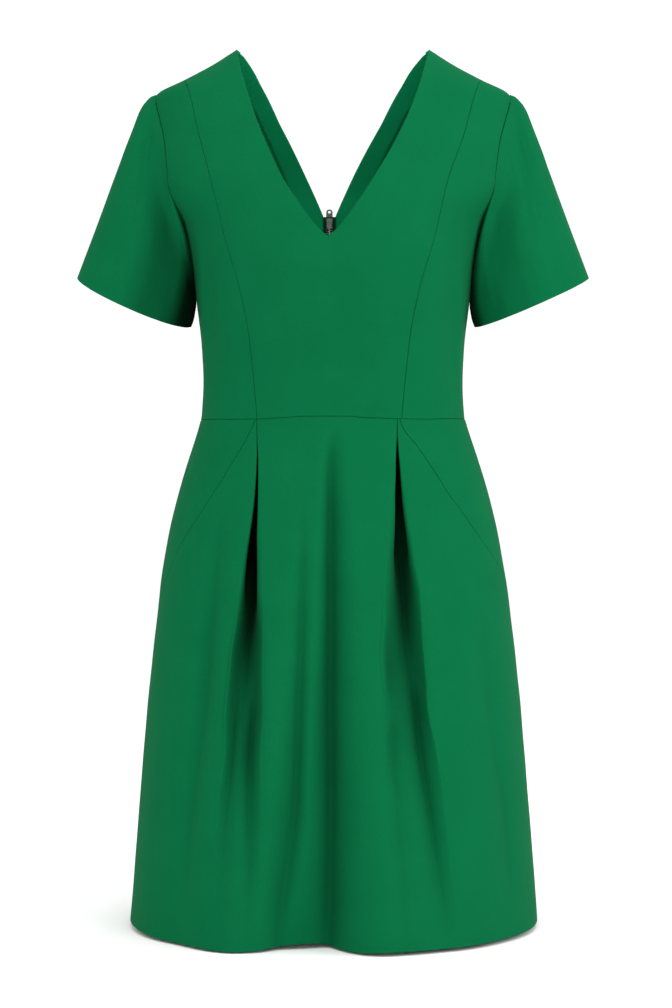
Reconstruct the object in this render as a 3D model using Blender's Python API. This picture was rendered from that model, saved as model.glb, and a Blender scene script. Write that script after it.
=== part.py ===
"""A short-sleeved, V-necked A-line dress, filled out as if worn.

The cloth is a set of thin walls, one object for each piece that is cut and sewn on.
Metres, +Z up. The front faces -Y and the wearer's left side is +X. The origin is midway
between the middles of the two shoulder seams, where the wearer carries the dress.

Bodice and skirt are rings round the body. A place on a ring is a girth angle: 0 at the
centre front, a quarter turn at the left side seam and half a turn at the centre back.
"""

import math
from collections import namedtuple

import bmesh
import bpy
from mathutils import Matrix, Vector

# ---- Driving dimensions ----

CLOTH = 0.0012  # wall of one layer
SEAM_GAP = 0.0003  # between two pieces at their seam

NECK_POINT = 0.024  # height of the inner end of the shoulder seam
SHOULDER_TIP = -0.023  # height of its outer end
UNDERARM = -0.163
WAIST = -0.357
HEM = -0.881
FRONT_V = -0.181  # lowest point of the front neckline
BACK_V = -0.136  # and of the back neckline
ZIP_END = -0.540

FULLNESS = 0.07  # how much squarer than an ellipse each ring is

Section = namedtuple("Section", "height half_width front back")

BODICE_SECTIONS = (
    Section(0.024, 0.0998, 0.036, 0.035),
    Section(0.010, 0.1240, 0.047, 0.046),
    Section(-0.004, 0.1490, 0.056, 0.055),
    Section(-0.023, 0.1830, 0.067, 0.066),
    Section(-0.060, 0.1875, 0.085, 0.086),
    Section(-0.090, 0.1880, 0.098, 0.098),
    Section(-0.120, 0.1840, 0.109, 0.105),
    Section(-0.163, 0.1555, 0.119, 0.107),
    Section(-0.200, 0.1462, 0.122, 0.103),
    Section(-0.243, 0.1412, 0.116, 0.098),
    Section(-0.288, 0.1362, 0.105, 0.091),
    Section(-0.322, 0.1348, 0.098, 0.087),
    Section(-0.357, 0.1365, 0.095, 0.086),
    Section(-0.363, 0.1379, 0.0964, 0.0880),
)

SKIRT_SECTIONS = (
    Section(-0.357, 0.1365, 0.095, 0.086),
    Section(-0.363, 0.1379, 0.0964, 0.0880),
    Section(-0.372, 0.1406, 0.099, 0.092),
    Section(-0.402, 0.1510, 0.107, 0.104),
    Section(-0.444, 0.1632, 0.117, 0.117),
    Section(-0.486, 0.1722, 0.126, 0.126),
    Section(-0.527, 0.1790, 0.133, 0.132),
    Section(-0.569, 0.1840, 0.139, 0.137),
    Section(-0.652, 0.1930, 0.148, 0.144),
    Section(-0.756, 0.2015, 0.157, 0.151),
    Section(-0.860, 0.2095, 0.164, 0.158),
    Section(-0.881, 0.2110, 0.165, 0.159),
)

# Seam down the bust from the shoulder to the waist: half width at each height.
BustSeam = namedtuple("BustSeam", "height half_width")
BUST_SEAM = (
    BustSeam(-0.008, 0.1575),
    BustSeam(-0.014, 0.1515),
    BustSeam(-0.076, 0.1337),
    BustSeam(-0.122, 0.1192),
    BustSeam(-0.184, 0.1036),
    BustSeam(-0.229, 0.0906),
    BustSeam(-0.276, 0.0807),
    BustSeam(-0.315, 0.0755),
    BustSeam(-0.357, 0.0723),
)

# Necklines are arcs from the centre to the neck point: half width at the centre, and rise.
FRONT_V_START = 0.0002
FRONT_V_RISE = 0.0150
BACK_V_START = 0.0066
BACK_V_RISE = -0.0060

# Armholes cut into the bodice by this angle, and narrow towards the shoulder.
ARMHOLE_FRONT = 0.52
ARMHOLE_BACK = 0.42
ARMHOLE_TAPER = 0.30

# Sleeve: the oval hem ring, and how the cloth leaves the armhole and reaches the hem.
SLEEVE_OUTER = Vector((0.2652, 0.0, -0.2142))
SLEEVE_INNER = Vector((0.1482, 0.0, -0.2635))
SLEEVE_HALF_DEPTH = 0.046
SLEEVE_FRONT_DROP = 0.25
SLEEVE_FORWARD = 0.006
SLEEVE_FALL = Vector((0.334, 0.0, -0.943))
SLEEVE_UNDER_LEAVE = Vector((-0.22, 0.0, -0.97))
SLEEVE_UNDER_LAND = Vector((0.25, 0.0, -0.97))
SLEEVE_CLEAR = 0.0006  # from the bodice it hangs beside

# Reach along the cloth from the armhole and from the hem, over the arm, beside it and
# under it.
SLEEVE_LEAVE = (0.0205, 0.045, 0.030)
SLEEVE_LAND = (0.159, 0.100, 0.040)

# Slanted front edge of the hip pieces, from beside the pleat to the side seam.
SLANT_END = -0.546
SLANT_TIP_SHARE = 0.2  # of its last row that a hip piece's tip leaves off

Slant = namedtuple("Slant", "height girth")
SLANT = (
    Slant(-0.357, 0.566),
    Slant(-0.368, 0.570),
    Slant(-0.407, 0.650),
    Slant(-0.441, 0.783),
    Slant(-0.471, 0.949),
    Slant(-0.498, 1.128),
    Slant(-0.528, 1.380),
    Slant(-0.538, 1.490),
    Slant(-0.546, math.pi / 2),
)

# Inverted pleats: each is two folds that meet over a hidden underlay. Lower down they part,
# the cloth behind runs out and the pleat becomes a soft valley.
PLEAT_TURN = 0.0009  # radius of a folded edge

PleatRow = namedtuple(
    "PleatRow", "height at slit reach layer hollow loose valley_width valley_depth"
)
PLEAT_ROWS = (
    PleatRow(-0.357, 0.0713, 0.0002, 0.0220, 0.0017, 0.000, 0.00, 0.024, 0.016),
    PleatRow(-0.400, 0.0713, 0.0010, 0.0215, 0.0017, 0.003, 0.00, 0.024, 0.016),
    PleatRow(-0.436, 0.0713, 0.0024, 0.0205, 0.0018, 0.007, 0.00, 0.025, 0.018),
    PleatRow(-0.468, 0.0713, 0.0046, 0.0180, 0.0021, 0.010, 0.02, 0.026, 0.020),
    PleatRow(-0.503, 0.0720, 0.0068, 0.0145, 0.0026, 0.012, 0.06, 0.027, 0.021),
    PleatRow(-0.543, 0.0733, 0.0095, 0.0100, 0.0035, 0.012, 0.22, 0.028, 0.021),
    PleatRow(-0.590, 0.0750, 0.0130, 0.0060, 0.0050, 0.009, 0.52, 0.030, 0.019),
    PleatRow(-0.650, 0.0780, 0.0160, 0.0050, 0.0060, 0.004, 0.88, 0.033, 0.014),
    PleatRow(-0.727, 0.0817, 0.0180, 0.0050, 0.0060, 0.000, 1.00, 0.036, 0.009),
    PleatRow(-0.881, 0.0880, 0.0180, 0.0050, 0.0060, 0.000, 1.00, 0.038, 0.004),
)

# Soft folds of the skirt: girth angles at top and hem, where it starts, how far it stands
# out (or in) and how wide it is at the hem.
Fold = namedtuple("Fold", "top_angle hem_angle start depth width")
SKIRT_FOLDS = (
    Fold(-0.02, -0.10, -0.400, -0.034, 0.16),
    Fold(0.16, 0.26, -0.420, 0.016, 0.20),
    Fold(-0.42, -0.50, -0.440, 0.014, 0.22),
    Fold(0.66, 0.72, -0.500, 0.014, 0.22),
    Fold(-0.80, -0.78, -0.500, 0.012, 0.20),
    Fold(1.98, 2.00, -0.480, -0.016, 0.20),
    Fold(2.42, 2.46, -0.460, 0.014, 0.22),
    Fold(2.84, 2.86, -0.540, -0.014, 0.15),
    Fold(-2.86, -2.90, -0.560, 0.012, 0.16),
    Fold(-2.50, -2.52, -0.470, -0.017, 0.20),
    Fold(-2.02, -2.06, -0.500, 0.013, 0.22),
)

WAIST_DIP = 0.0045  # the waist seam drops this much at the pleats
WAIST_DIP_WIDTH = 0.30

# Zip down the centre back. Places on it are given across, outward and up.
ZIP_HALF_GAP = 0.0068  # from the centre to the edge of each back piece
ZIP_TOP_DROP = 0.0004  # the tapes end this much under the neckline
CHAIN_HALF_WIDTH = 0.0030
CHAIN_THICK = 0.0022
CHAIN_GAP = 0.0002  # between the chain and each tape
TAPE_HALF_WIDTH = 0.0140
TAPE_THICK = 0.0007

SLIDER_HALF_WIDTH = 0.0039
SLIDER_NOSE_HALF_WIDTH = 0.0046  # at the upper end, where the two rows of teeth part
SLIDER_LENGTH = 0.0110
SLIDER_WALL = 0.0008
SLIDER_CLEAR = 0.0002  # to the chain
SLIDER_POST = Vector((0.0012, 0.0, 0.0026))  # joins the two plates above the chain
SLIDER_TOP_DROP = 0.0024
LUG_HALF_WIDTH = 0.0010
LUG_RADIUS = 0.0015
PIN_RADIUS = 0.00055
PIN_CLEAR = 0.00007
PIN_OUT = 0.00140  # from the slider's outer face
PIN_DROP = 0.0048  # from the slider's upper end
PULL_LENGTH = 0.0150
PULL_HALF_WIDTH = 0.0031
PULL_THICK = 0.0010
PULL_WINDOW_HALF_WIDTH = 0.0014
PULL_WINDOW_LENGTH = 0.0044
PULL_HOLE_RADIUS = 0.0013
PULL_LEAN = math.radians(6.5)  # at rest it leans on the slider's upper end

# How finely the pieces are faceted.
LOWER_ROWS = 5
ARMHOLE_ROWS = 10
CENTRE_COLUMNS = 5
SIDE_COLUMNS = 3
SLEEVE_ROWS = 7
HIP_COLUMNS = (0.0, 0.10, 0.20, 0.45, 0.72, 1.0)
STRIP_COLUMNS = 3
ZIP_COLUMN = 0.40  # share of the column beside the zip that its own edge strip takes
SKIRT_CENTRE_COLUMNS = 12
SKIRT_BACK_COLUMNS = 10
ROUND_STEPS = 16
SKIRT_LEVELS = (
    -0.881,
    -0.835,
    -0.780,
    -0.720,
    -0.665,
    -0.615,
    -0.575,
    -0.546,
    -0.538,
    -0.521,
    -0.498,
    -0.470,
    -0.439,
    -0.405,
    -0.378,
    -0.357,
)

QUARTER = math.pi / 2
PROBE = 1e-4  # step for slopes

GREEN = (0.012, 0.175, 0.065, 1.0)
INSIDE_TAPE = (0.008, 0.030, 0.018, 1.0)
GUNMETAL = (0.090, 0.088, 0.086, 1.0)


# ---- Reading the tables ----


def read_row(rows, height):
    """The table's row at a height, with monotone cubic curves between the given rows."""
    rows = sorted(rows, key=lambda row: row.height)
    heights = [row.height for row in rows]
    height = min(max(height, heights[0]), heights[-1])
    low = max(i for i in range(len(rows) - 1) if heights[i] <= height)
    span = heights[low + 1] - heights[low]
    t = (height - heights[low]) / span
    values = [height]
    for column in range(1, len(rows[0])):
        line = [row[column] for row in rows]
        start, end = slope_at(heights, line, low), slope_at(heights, line, low + 1)
        values.append(
            line[low] * (1 + 2 * t) * (1 - t) ** 2
            + start * span * t * (1 - t) ** 2
            + line[low + 1] * t * t * (3 - 2 * t)
            - end * span * t * t * (1 - t)
        )
    return type(rows[0])(*values)


def slope_at(heights, line, index):
    """The slope of a column at a row, kept low enough that the curve doesn't overshoot."""

    def between(i):
        return (line[i + 1] - line[i]) / (heights[i + 1] - heights[i])

    if index == 0:
        return between(0)
    if index == len(line) - 1:
        return between(index - 1)
    before, after = between(index - 1), between(index)
    if before * after <= 0:
        return 0.0
    return 2 * before * after / (before + after)


def mix(a, b, share):
    return a + (b - a) * share


def ease(share):
    share = min(max(share, 0.0), 1.0)
    return share * share * (3 - 2 * share)


def bump(offset, width):
    return math.exp(-((offset / width) ** 2))


# ---- The form of the bodice and the skirt ----


def ring_point(section, angle, grow=0.0):
    """A point of a ring: an ellipse with its own front and back depth, a little squared."""
    c, s = math.cos(angle), math.sin(angle)
    depth = (section.front if c > 0 else section.back) + grow
    x = (section.half_width + grow * 0.3) * s * (1 + FULLNESS * c * c)
    return Vector((x, -depth * c * (1 + FULLNESS * s * s), section.height))


def bodice(angle, height):
    return ring_point(read_row(BODICE_SECTIONS, height), angle)


def fold_depth(angle, height):
    """How far the soft folds push the skirt out at a place."""
    total = 0.0
    for fold in SKIRT_FOLDS:
        share = (fold.start - height) / (fold.start - HEM)
        if share <= 0:
            continue
        centre = mix(fold.top_angle, fold.hem_angle, share)
        width = fold.width * mix(0.7, 1.0, share)
        away = (angle - centre + math.pi) % (2 * math.pi) - math.pi
        total += fold.depth * ease(share * 1.15) * bump(away, width)
    return total


def skirt(angle, height):
    section = read_row(SKIRT_SECTIONS, height)
    return ring_point(section, angle, fold_depth(angle, height))


def whole_back(angle, height):
    """The bodice down to the waist, then the skirt, for the zip that runs over both."""
    return bodice(angle, height) if height > WAIST else skirt(angle, height)


def outward(surface, angle, height):
    along = surface(angle + PROBE, height) - surface(angle - PROBE, height)
    up = surface(angle, height + PROBE) - surface(angle, height - PROBE)
    return along.cross(up).normalized()


def angle_step(surface, angle, height, distance):
    """The girth angle that is a distance long here."""
    along = surface(angle + PROBE, height) - surface(angle - PROBE, height)
    return distance * 2 * PROBE / along.length


def angle_at(half_width, height):
    """The girth angle, from the centre front, at a half width as seen from the front."""
    sections = BODICE_SECTIONS if height > WAIST else SKIRT_SECTIONS
    goal = min(half_width / read_row(sections, height).half_width, 1.0)
    low, high = 0.0, QUARTER
    for _ in range(40):
        angle = (low + high) / 2
        reached = math.sin(angle) * (1 + FULLNESS * math.cos(angle) ** 2)
        low, high = (angle, high) if reached < goal else (low, angle)
    return (low + high) / 2


def waist_height(angle):
    """The waist seam, which sinks a little where the pleats pull on it."""
    return WAIST - WAIST_DIP * bump(abs(angle) - pleat_angle(WAIST), WAIST_DIP_WIDTH)


# ---- Seam lines, as pairs of girth angle and height on the left half ----


def bust_seam(height):
    half_width = read_row(BUST_SEAM, height).half_width
    return angle_at(half_width, height)


def armhole(turn, depth):
    """A place on the armhole: turn 0 is the underarm and 1 the shoulder tip."""
    share = (1 - math.cos(math.pi * turn)) / 2
    cut = depth * math.sin(math.pi * turn) * (1 - ARMHOLE_TAPER * share**2)
    return cut, mix(UNDERARM, SHOULDER_TIP, share)


def neckline(turn, start, lowest, rise):
    """A place on a neckline: turn 0 is its lowest point and 1 the neck point."""
    share = (1 - math.cos(math.pi * turn)) / 2
    end = read_row(BODICE_SECTIONS, NECK_POINT).half_width
    across, up = end - start, NECK_POINT - lowest
    length = math.hypot(across, up)
    sag = rise * 4 * share * (1 - share)
    half_width = mix(start, end, share) + sag * up / length
    height = mix(lowest, NECK_POINT, share) - sag * across / length
    return angle_at(half_width, height), height


def slant_angle(height):
    """The slanted edge of the hip piece, from beside the pleat to the side seam."""
    return read_row(SLANT, height).girth


def pleat_angle(height):
    """The girth angle of a pleat's centre line."""
    return angle_at(read_row(PLEAT_ROWS, height).at, height)


# ---- Making walls ----


def clear_scene():
    for thing in list(bpy.data.objects):
        bpy.data.objects.remove(thing)


def make_material(name, colour, roughness, metallic=0.0):
    material = bpy.data.materials.new(name)
    material.use_nodes = True
    shader = material.node_tree.nodes["Principled BSDF"]
    shader.inputs["Base Color"].default_value = colour
    shader.inputs["Roughness"].default_value = roughness
    shader.inputs["Metallic"].default_value = metallic
    return material


def add_object(name, form, material, smooth_angle=40.0):
    """A named object from a bmesh, shaded smooth except over sharp edges."""
    mesh = bpy.data.meshes.new(name)
    form.to_mesh(mesh)
    form.free()
    mesh.materials.append(material)
    mesh.shade_smooth()
    mesh.set_sharp_from_angle(angle=math.radians(smooth_angle))
    thing = bpy.data.objects.new(name, mesh)
    bpy.context.scene.collection.objects.link(thing)
    return thing


def wall(name, patches, material, outer=0.0, inner=-CLOTH):
    """One closed wall of cloth.

    Each patch is a grid of (point, outward) pairs, its rows running up and its columns
    running to the wearer's left. Patches join where they share points. The wall lies
    between the two distances from the points, measured outward.
    """
    form = bmesh.new()
    outside, inside = {}, {}

    def corner(place):
        point, normal = place
        key = tuple(round(x, 6) for x in point)
        if key not in outside:
            outside[key] = form.verts.new(point + normal * outer)
            inside[key] = form.verts.new(point + normal * inner)
        return key

    edge_uses = {}
    for patch in patches:
        keys = [[corner(place) for place in row] for row in patch]
        for below, above in zip(keys, keys[1:]):
            for j in range(len(below) - 1):
                ring = (below[j], below[j + 1], above[j + 1], above[j])
                form.faces.new([outside[key] for key in ring])
                form.faces.new([inside[key] for key in reversed(ring)])
                for a, b in zip(ring, ring[1:] + ring[:1]):
                    edge_uses.setdefault(frozenset((a, b)), []).append((a, b))
    for uses in edge_uses.values():
        if len(uses) == 1:
            a, b = uses[0]
            form.faces.new([outside[b], outside[a], inside[a], inside[b]])
    bmesh.ops.triangulate(form, faces=form.faces[:])
    return add_object(name, form, material)


def placed(surface, angle, height):
    return surface(angle, height), outward(surface, angle, height)


def mirrored(patch):
    """The same patch on the wearer's right side."""
    flip = Matrix.Scale(-1, 3, Vector((1, 0, 0)))
    return [[(flip @ point, flip @ normal) for point, normal in reversed(row)] for row in patch]


def tent(count):
    return [i / count for i in range(count + 1)]


# ---- The bodice ----


def bodice_rows(inner_side, outer_side):
    """Rows of (inner, outer) ends from the waist to the shoulder, as (angle, height)."""
    rows = [(inner_side(False, t), outer_side(False, t)) for t in tent(LOWER_ROWS)]
    rows += [(inner_side(True, t), outer_side(True, t)) for t in tent(ARMHOLE_ROWS)[1:]]
    return rows


def bodice_patch(rows, columns):
    """A patch from its rows' ends. Its lowest row follows the waist seam."""
    patch = []
    for number, (inner, outer) in enumerate(rows):
        row = []
        for share in columns:
            angle, height = mix(inner[0], outer[0], share), mix(inner[1], outer[1], share)
            if number == 0:
                height = waist_height(angle) + SEAM_GAP / 2
            row.append(placed(bodice, angle, height))
        patch.append(row)
    return patch


def seam_side(angle, height, side):
    """An angle moved half the seam gap to one side."""
    return angle + side * angle_step(bodice, angle, height, SEAM_GAP * 0.6)


def front_neck_side(upper, t):
    if upper:
        angle, height = neckline(t, FRONT_V_START, FRONT_V, FRONT_V_RISE)
        return min(angle, seam_side(QUARTER, height, -1)), height
    return 0.0, mix(WAIST, FRONT_V, t)


def bust_heights(upper, t):
    top = BUST_SEAM[0].height
    return mix(UNDERARM, top, (1 - math.cos(math.pi * t)) / 2) if upper else mix(WAIST, UNDERARM, t)


def bust_side(side):
    def place(upper, t):
        height = bust_heights(upper, t)
        shoulder = seam_side(QUARTER, height, -1)
        return min(seam_side(bust_seam(height), height, side), shoulder), height

    return place


def arm_side(front):
    """The side seam and then the armhole, on the front or the back piece."""
    toward = -1 if front else 1
    depth = ARMHOLE_FRONT if front else ARMHOLE_BACK

    def place(upper, t):
        if not upper:
            height = mix(WAIST, UNDERARM, t)
            return seam_side(QUARTER, height, toward), height
        cut, height = armhole(t, depth)
        least = abs(seam_side(QUARTER, height, toward) - QUARTER)
        return QUARTER + toward * max(cut, least), height

    return place


def back_neck_side(upper, t):
    if upper:
        angle, height = neckline(t, BACK_V_START, BACK_V, BACK_V_RISE)
        return max(math.pi - angle, seam_side(QUARTER, height, 1)), height
    height = mix(WAIST, BACK_V, t)
    return math.pi - angle_step(bodice, math.pi, height, ZIP_HALF_GAP), height


def make_bodice(cloth):
    centre = bodice_patch(bodice_rows(front_neck_side, bust_side(-1)), tent(CENTRE_COLUMNS))
    wall("front_centre", [centre, mirrored(centre)], cloth)
    side = bodice_patch(bodice_rows(bust_side(1), arm_side(True)), tent(SIDE_COLUMNS))
    wall("front_side_left", [side], cloth)
    wall("front_side_right", [mirrored(side)], cloth)
    # The back's columns meet the shoulder where those of the two front pieces do.
    split = (NECK_POINT - BUST_SEAM[0].height) / (NECK_POINT - SHOULDER_TIP)
    columns = [share * split for share in tent(CENTRE_COLUMNS)]
    columns.insert(1, columns[1] * ZIP_COLUMN)
    columns += [mix(split, 1.0, share) for share in tent(SIDE_COLUMNS)[1:]]
    from_arm = [1 - share for share in reversed(columns)]
    back = bodice_patch(bodice_rows(arm_side(False), back_neck_side), from_arm)
    wall("back_left", [back], cloth)
    wall("back_right", [mirrored(back)], cloth)


# ---- The sleeves ----


def armhole_ring():
    """The armhole's (point, outward) pairs from the shoulder tip down the front, under the
    arm and up the back, with the share of the way round."""
    turns = tent(ARMHOLE_ROWS)
    front = [(arm_side(True)(True, t), 0.5 * (1 - t)) for t in reversed(turns)]
    back = [(arm_side(False)(True, t), 0.5 * (1 + t)) for t in turns]
    front[-1] = ((QUARTER, UNDERARM), 0.5)
    front[0] = ((QUARTER, SHOULDER_TIP), 0.0)
    return [(placed(bodice, *place), way) for place, way in front + back[1:-1]]


def sleeve_hem(way):
    centre = (SLEEVE_OUTER + SLEEVE_INNER) / 2 - Vector((0, SLEEVE_FORWARD, 0))
    across = (SLEEVE_OUTER - SLEEVE_INNER) / 2
    forward = Vector((0, -1, -SLEEVE_FRONT_DROP)).normalized() * SLEEVE_HALF_DEPTH
    turn = 2 * math.pi * way
    return centre + across * math.cos(turn) + forward * math.sin(turn)


def over_beside_under(values, under):
    """Blends three values by how far under the arm (0 to 1) a place is."""
    if under < 0.5:
        return mix(values[0], values[1], ease(under * 2))
    return mix(values[1], values[2], ease(under * 2 - 1))


def clear_of_bodice(point):
    """The point, moved straight out of the bodice if it is too close to it."""
    section = read_row(BODICE_SECTIONS, point.z)
    depth = section.front if point.y < 0 else section.back
    edge = ring_point(section, math.atan2(point.x / section.half_width, -point.y / depth))
    flat = Vector((point.x, point.y, 0.0))
    least = math.hypot(edge.x, edge.y) + SLEEVE_CLEAR
    return point + flat * (max(flat.length, least) / flat.length - 1)


def sleeve_grid():
    """The left sleeve as rows of points from its hem to the armhole, closed round the arm."""
    ring = armhole_ring()
    columns = []
    for index, ((point, normal), way) in enumerate(ring):
        before, after = ring[index - 1][0][0], ring[(index + 1) % len(ring)][0][0]
        under = (1 - math.cos(2 * math.pi * way)) / 2
        leave = (after - before).cross(normal).normalized()
        if leave.x < 0:
            leave = -leave
        leave = leave.lerp(Vector((1, 0, -0.02)), (1 - under) ** 3)
        leave = leave.lerp(SLEEVE_UNDER_LEAVE, ease(under * 1.4 - 0.4)).normalized()
        start = point + leave.lerp(normal, under**4).normalized() * SEAM_GAP * 1.3
        end = sleeve_hem(way)
        reach = over_beside_under(SLEEVE_LEAVE, under)
        land = over_beside_under(SLEEVE_LAND, under)
        fall = SLEEVE_FALL.lerp(SLEEVE_UNDER_LAND, under).normalized()
        columns.append((start, start + leave * reach, end - fall * land, end))
    rows = []
    for t in reversed(tent(SLEEVE_ROWS)):
        s = 1 - t
        weights = (s**3, 3 * s * s * t, 3 * s * t * t, t**3)
        row = []
        for column in columns:
            point = sum((c * w for c, w in zip(column, weights)), Vector())
            row.append(clear_of_bodice(point) if t > 0 else point)
        rows.append(row)
    return rows


def make_sleeve(name, flip, cloth):
    """A sleeve: a tube of cloth, with its own thickness inwards."""
    grid = sleeve_grid()
    count = len(grid[0])
    patch = []
    for number, row in enumerate(grid):
        below, above = grid[max(number - 1, 0)], grid[min(number + 1, len(grid) - 1)]
        places = []
        for j in range(count + 1):
            along = row[(j + 1) % count] - row[j - 1 if j < count else count - 1]
            up = above[j % count] - below[j % count]
            normal = up.cross(along).normalized()
            places.append((row[j % count], normal))
        patch.append(list(reversed(places)))
    wall(name, [mirrored(patch)] if flip else [patch], cloth)


# ---- The skirt ----


def pleat_profile(height):
    """Half of a pleat across the cloth: (sideways, inward) pairs from its fold's outer edge
    to the middle of the underlay. Sideways is from the pleat's centre line."""
    row = read_row(PLEAT_ROWS, height)
    turn, layer = PLEAT_TURN, row.layer
    near = row.slit + CLOTH / 2
    far = near + row.reach
    folded = (
        (near + 2.6 * turn, 0.0),
        (near + 1.0 * turn, 0.0),
        (near, layer * 0.25),
        (near, layer * 0.75),
        (near + 1.0 * turn, layer),
        (mix(near, far, 0.5), layer),
        (far - turn, layer),
        (far, layer * 1.25),
        (far, layer * 1.75),
        (far - turn, layer * 2),
        (mix(0.0, far, 0.5), layer * 2),
        (0.0, layer * 2),
    )
    profile = []
    for i, (sideways, inward) in enumerate(folded):
        share = i / (len(folded) - 1)
        valley = row.valley_depth * (1 - math.cos(math.pi * share)) / 2
        sideways = mix(sideways, row.valley_width * (1 - share), row.loose)
        inward += row.hollow * ease(share * 1.7 - 0.3)
        profile.append((sideways, mix(inward, valley, row.loose) + CLOTH / 2))
    return profile


def skirt_row(height, side_angle):
    """The left half of the front skirt at a height: (angle, inward) from the centre to the
    side, over the pleat's folds."""
    pleat = pleat_angle(height)
    step = angle_step(skirt, pleat, height, 1.0)
    half = pleat_profile(height)
    inner_edge, outer_edge = pleat - half[0][0] * step, pleat + half[0][0] * step
    top = CLOTH / 2
    row = [(inner_edge * t, top) for t in tent(SKIRT_CENTRE_COLUMNS // 2)]
    row += [(pleat - sideways * step, inward) for sideways, inward in half[1:]]
    row += [(pleat + sideways * step, inward) for sideways, inward in reversed(half[:-1])]
    row += [(mix(outer_edge, side_angle, t), top) for t in tent(STRIP_COLUMNS)[1:]]
    return row


def front_skirt_patch():
    """The whole front skirt: the middle of the cloth and its own outward direction."""
    patch = []
    for height in SKIRT_LEVELS:
        side = slant_angle(height) if height > SLANT_END else QUARTER
        side -= angle_step(skirt, side, height, SEAM_GAP * 0.6)
        half = skirt_row(height, side)
        row = [(-angle, inward) for angle, inward in reversed(half[1:])] + half
        places = []
        for j, (angle, inward) in enumerate(row):
            level = waist_height(angle) - SEAM_GAP / 2 if height == WAIST else height
            point, normal = placed(skirt, angle, level)
            step = angle_step(skirt, angle, level, 1.0)
            nearby = row[max(j - 1, 0)], row[j], row[min(j + 1, len(row) - 1)]
            line = [Vector((turn / step, -depth)) for turn, depth in nearby]
            lie = (line[1] - line[0]).normalized() + (line[2] - line[1]).normalized()
            lie.normalize()
            along = normal.cross(Vector((0, 0, 1))).normalized() * -1
            places.append((point - normal * inward, normal * lie.x - along * lie.y))
        patch.append(places)
    return patch


def skirt_patch(side, rows, columns):
    """A patch on the left (side 1) or right (-1) from its rows: (first, last, height)."""
    patch = []
    for first, last, height in rows:
        row = []
        for share in columns:
            angle, level = mix(first, last, share), height
            if height == WAIST:
                level = waist_height(angle) - SEAM_GAP / 2
            row.append(placed(skirt, side * angle, level))
        patch.append(row if side > 0 else list(reversed(row)))
    return patch


def hip_rows():
    """A hip piece, between the slanted edge, the waist and the side seam."""
    heights = [height for height in SKIRT_LEVELS if height > SLANT_END]
    tip = mix(QUARTER, slant_angle(heights[0]), SLANT_TIP_SHARE)
    rows = [(tip, QUARTER, mix(SLANT_END, heights[0], SLANT_TIP_SHARE))]
    rows += [(slant_angle(height), QUARTER, height) for height in heights]
    step = angle_step(skirt, QUARTER, SLANT_END, SEAM_GAP * 0.6)
    return [(first + step, last - step, height) for first, last, height in rows]


def back_skirt_rows():
    """A back of the skirt, open along the zip and seamed below it."""
    rows = []
    for height in SKIRT_LEVELS:
        gap = ZIP_HALF_GAP if height > ZIP_END else SEAM_GAP * 0.6
        first = QUARTER + angle_step(skirt, QUARTER, height, SEAM_GAP * 0.6)
        rows.append((first, math.pi - angle_step(skirt, math.pi, height, gap), height))
    return rows


def make_skirt(cloth):
    wall("skirt_front", [front_skirt_patch()], cloth, outer=CLOTH / 2, inner=-CLOTH / 2)
    columns = tent(SKIRT_BACK_COLUMNS)
    columns.insert(-1, mix(1.0, columns[-2], ZIP_COLUMN))
    for name, side in (("left", 1), ("right", -1)):
        hip = skirt_patch(side, hip_rows(), HIP_COLUMNS)
        wall(f"skirt_hip_{name}", [hip], cloth)
        back = skirt_patch(side, back_skirt_rows(), columns)
        wall(f"skirt_back_{name}", [back], cloth)


# ---- The zip ----


def zip_levels():
    """Heights where the zip's strips bend, the same as those of the cloth beside it."""
    bottom = [height for height in SKIRT_LEVELS if ZIP_END - 0.008 < height < WAIST]
    top = [mix(WAIST, BACK_V, t) for t in tent(LOWER_ROWS)]
    top[-1] -= ZIP_TOP_DROP
    return bottom + top


def zip_strip(name, edges, levels, outer, inner, material):
    """A flat strip of the zip between two distances across, to the wearer's right."""
    patch = []
    for height in levels:
        row = []
        for across in edges:
            angle = math.pi + angle_step(whole_back, math.pi, height, across)
            row.append(placed(whole_back, angle, height))
        patch.append(row)
    return wall(name, [patch], material, outer, inner)


def chain_middle():
    """How far the middle of the tapes and the chain lies inside the cloth's outer face."""
    return CLOTH + SEAM_GAP + TAPE_THICK / 2


def zip_frame(low, high, height):
    """A frame at a height on the straight stretch of chain between two heights: x across,
    y outward and z up."""
    low_end, high_end = [
        point - normal * chain_middle()
        for point, normal in (placed(whole_back, math.pi, level) for level in (low, high))
    ]
    across = Vector((1, 0, 0))
    up = (high_end - low_end).normalized()
    turn = Matrix((across, up.cross(across), up)).transposed().to_4x4()
    share = (height - low_end.z) / (high_end.z - low_end.z)
    return Matrix.Translation(low_end.lerp(high_end, share)) @ turn


def loft(form, rings):
    """A closed body through rings of points, with flat ends."""
    rings = [[form.verts.new(point) for point in ring] for ring in rings]
    count = len(rings[0])
    for below, above in zip(rings, rings[1:]):
        for j in range(count):
            k = (j + 1) % count
            form.faces.new((below[j], below[k], above[k], above[j]))
    form.faces.new(list(reversed(rings[0])))
    form.faces.new(rings[-1])


def block(half_width, low, high, thick, middle=0.0):
    """A plain block on the zip's frame."""
    form = bmesh.new()
    lo, hi = middle - thick / 2, middle + thick / 2
    corners = ((-half_width, lo), (half_width, lo), (half_width, hi), (-half_width, hi))
    loft(form, [[Vector((x, y, z)) for x, y in corners] for z in (low, high)])
    return form


def slider_outline(share):
    """Half width of the slider from its lower end (0) to its upper end (1)."""
    return mix(SLIDER_HALF_WIDTH, SLIDER_NOSE_HALF_WIDTH, ease(share * 1.6 - 0.4))


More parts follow.
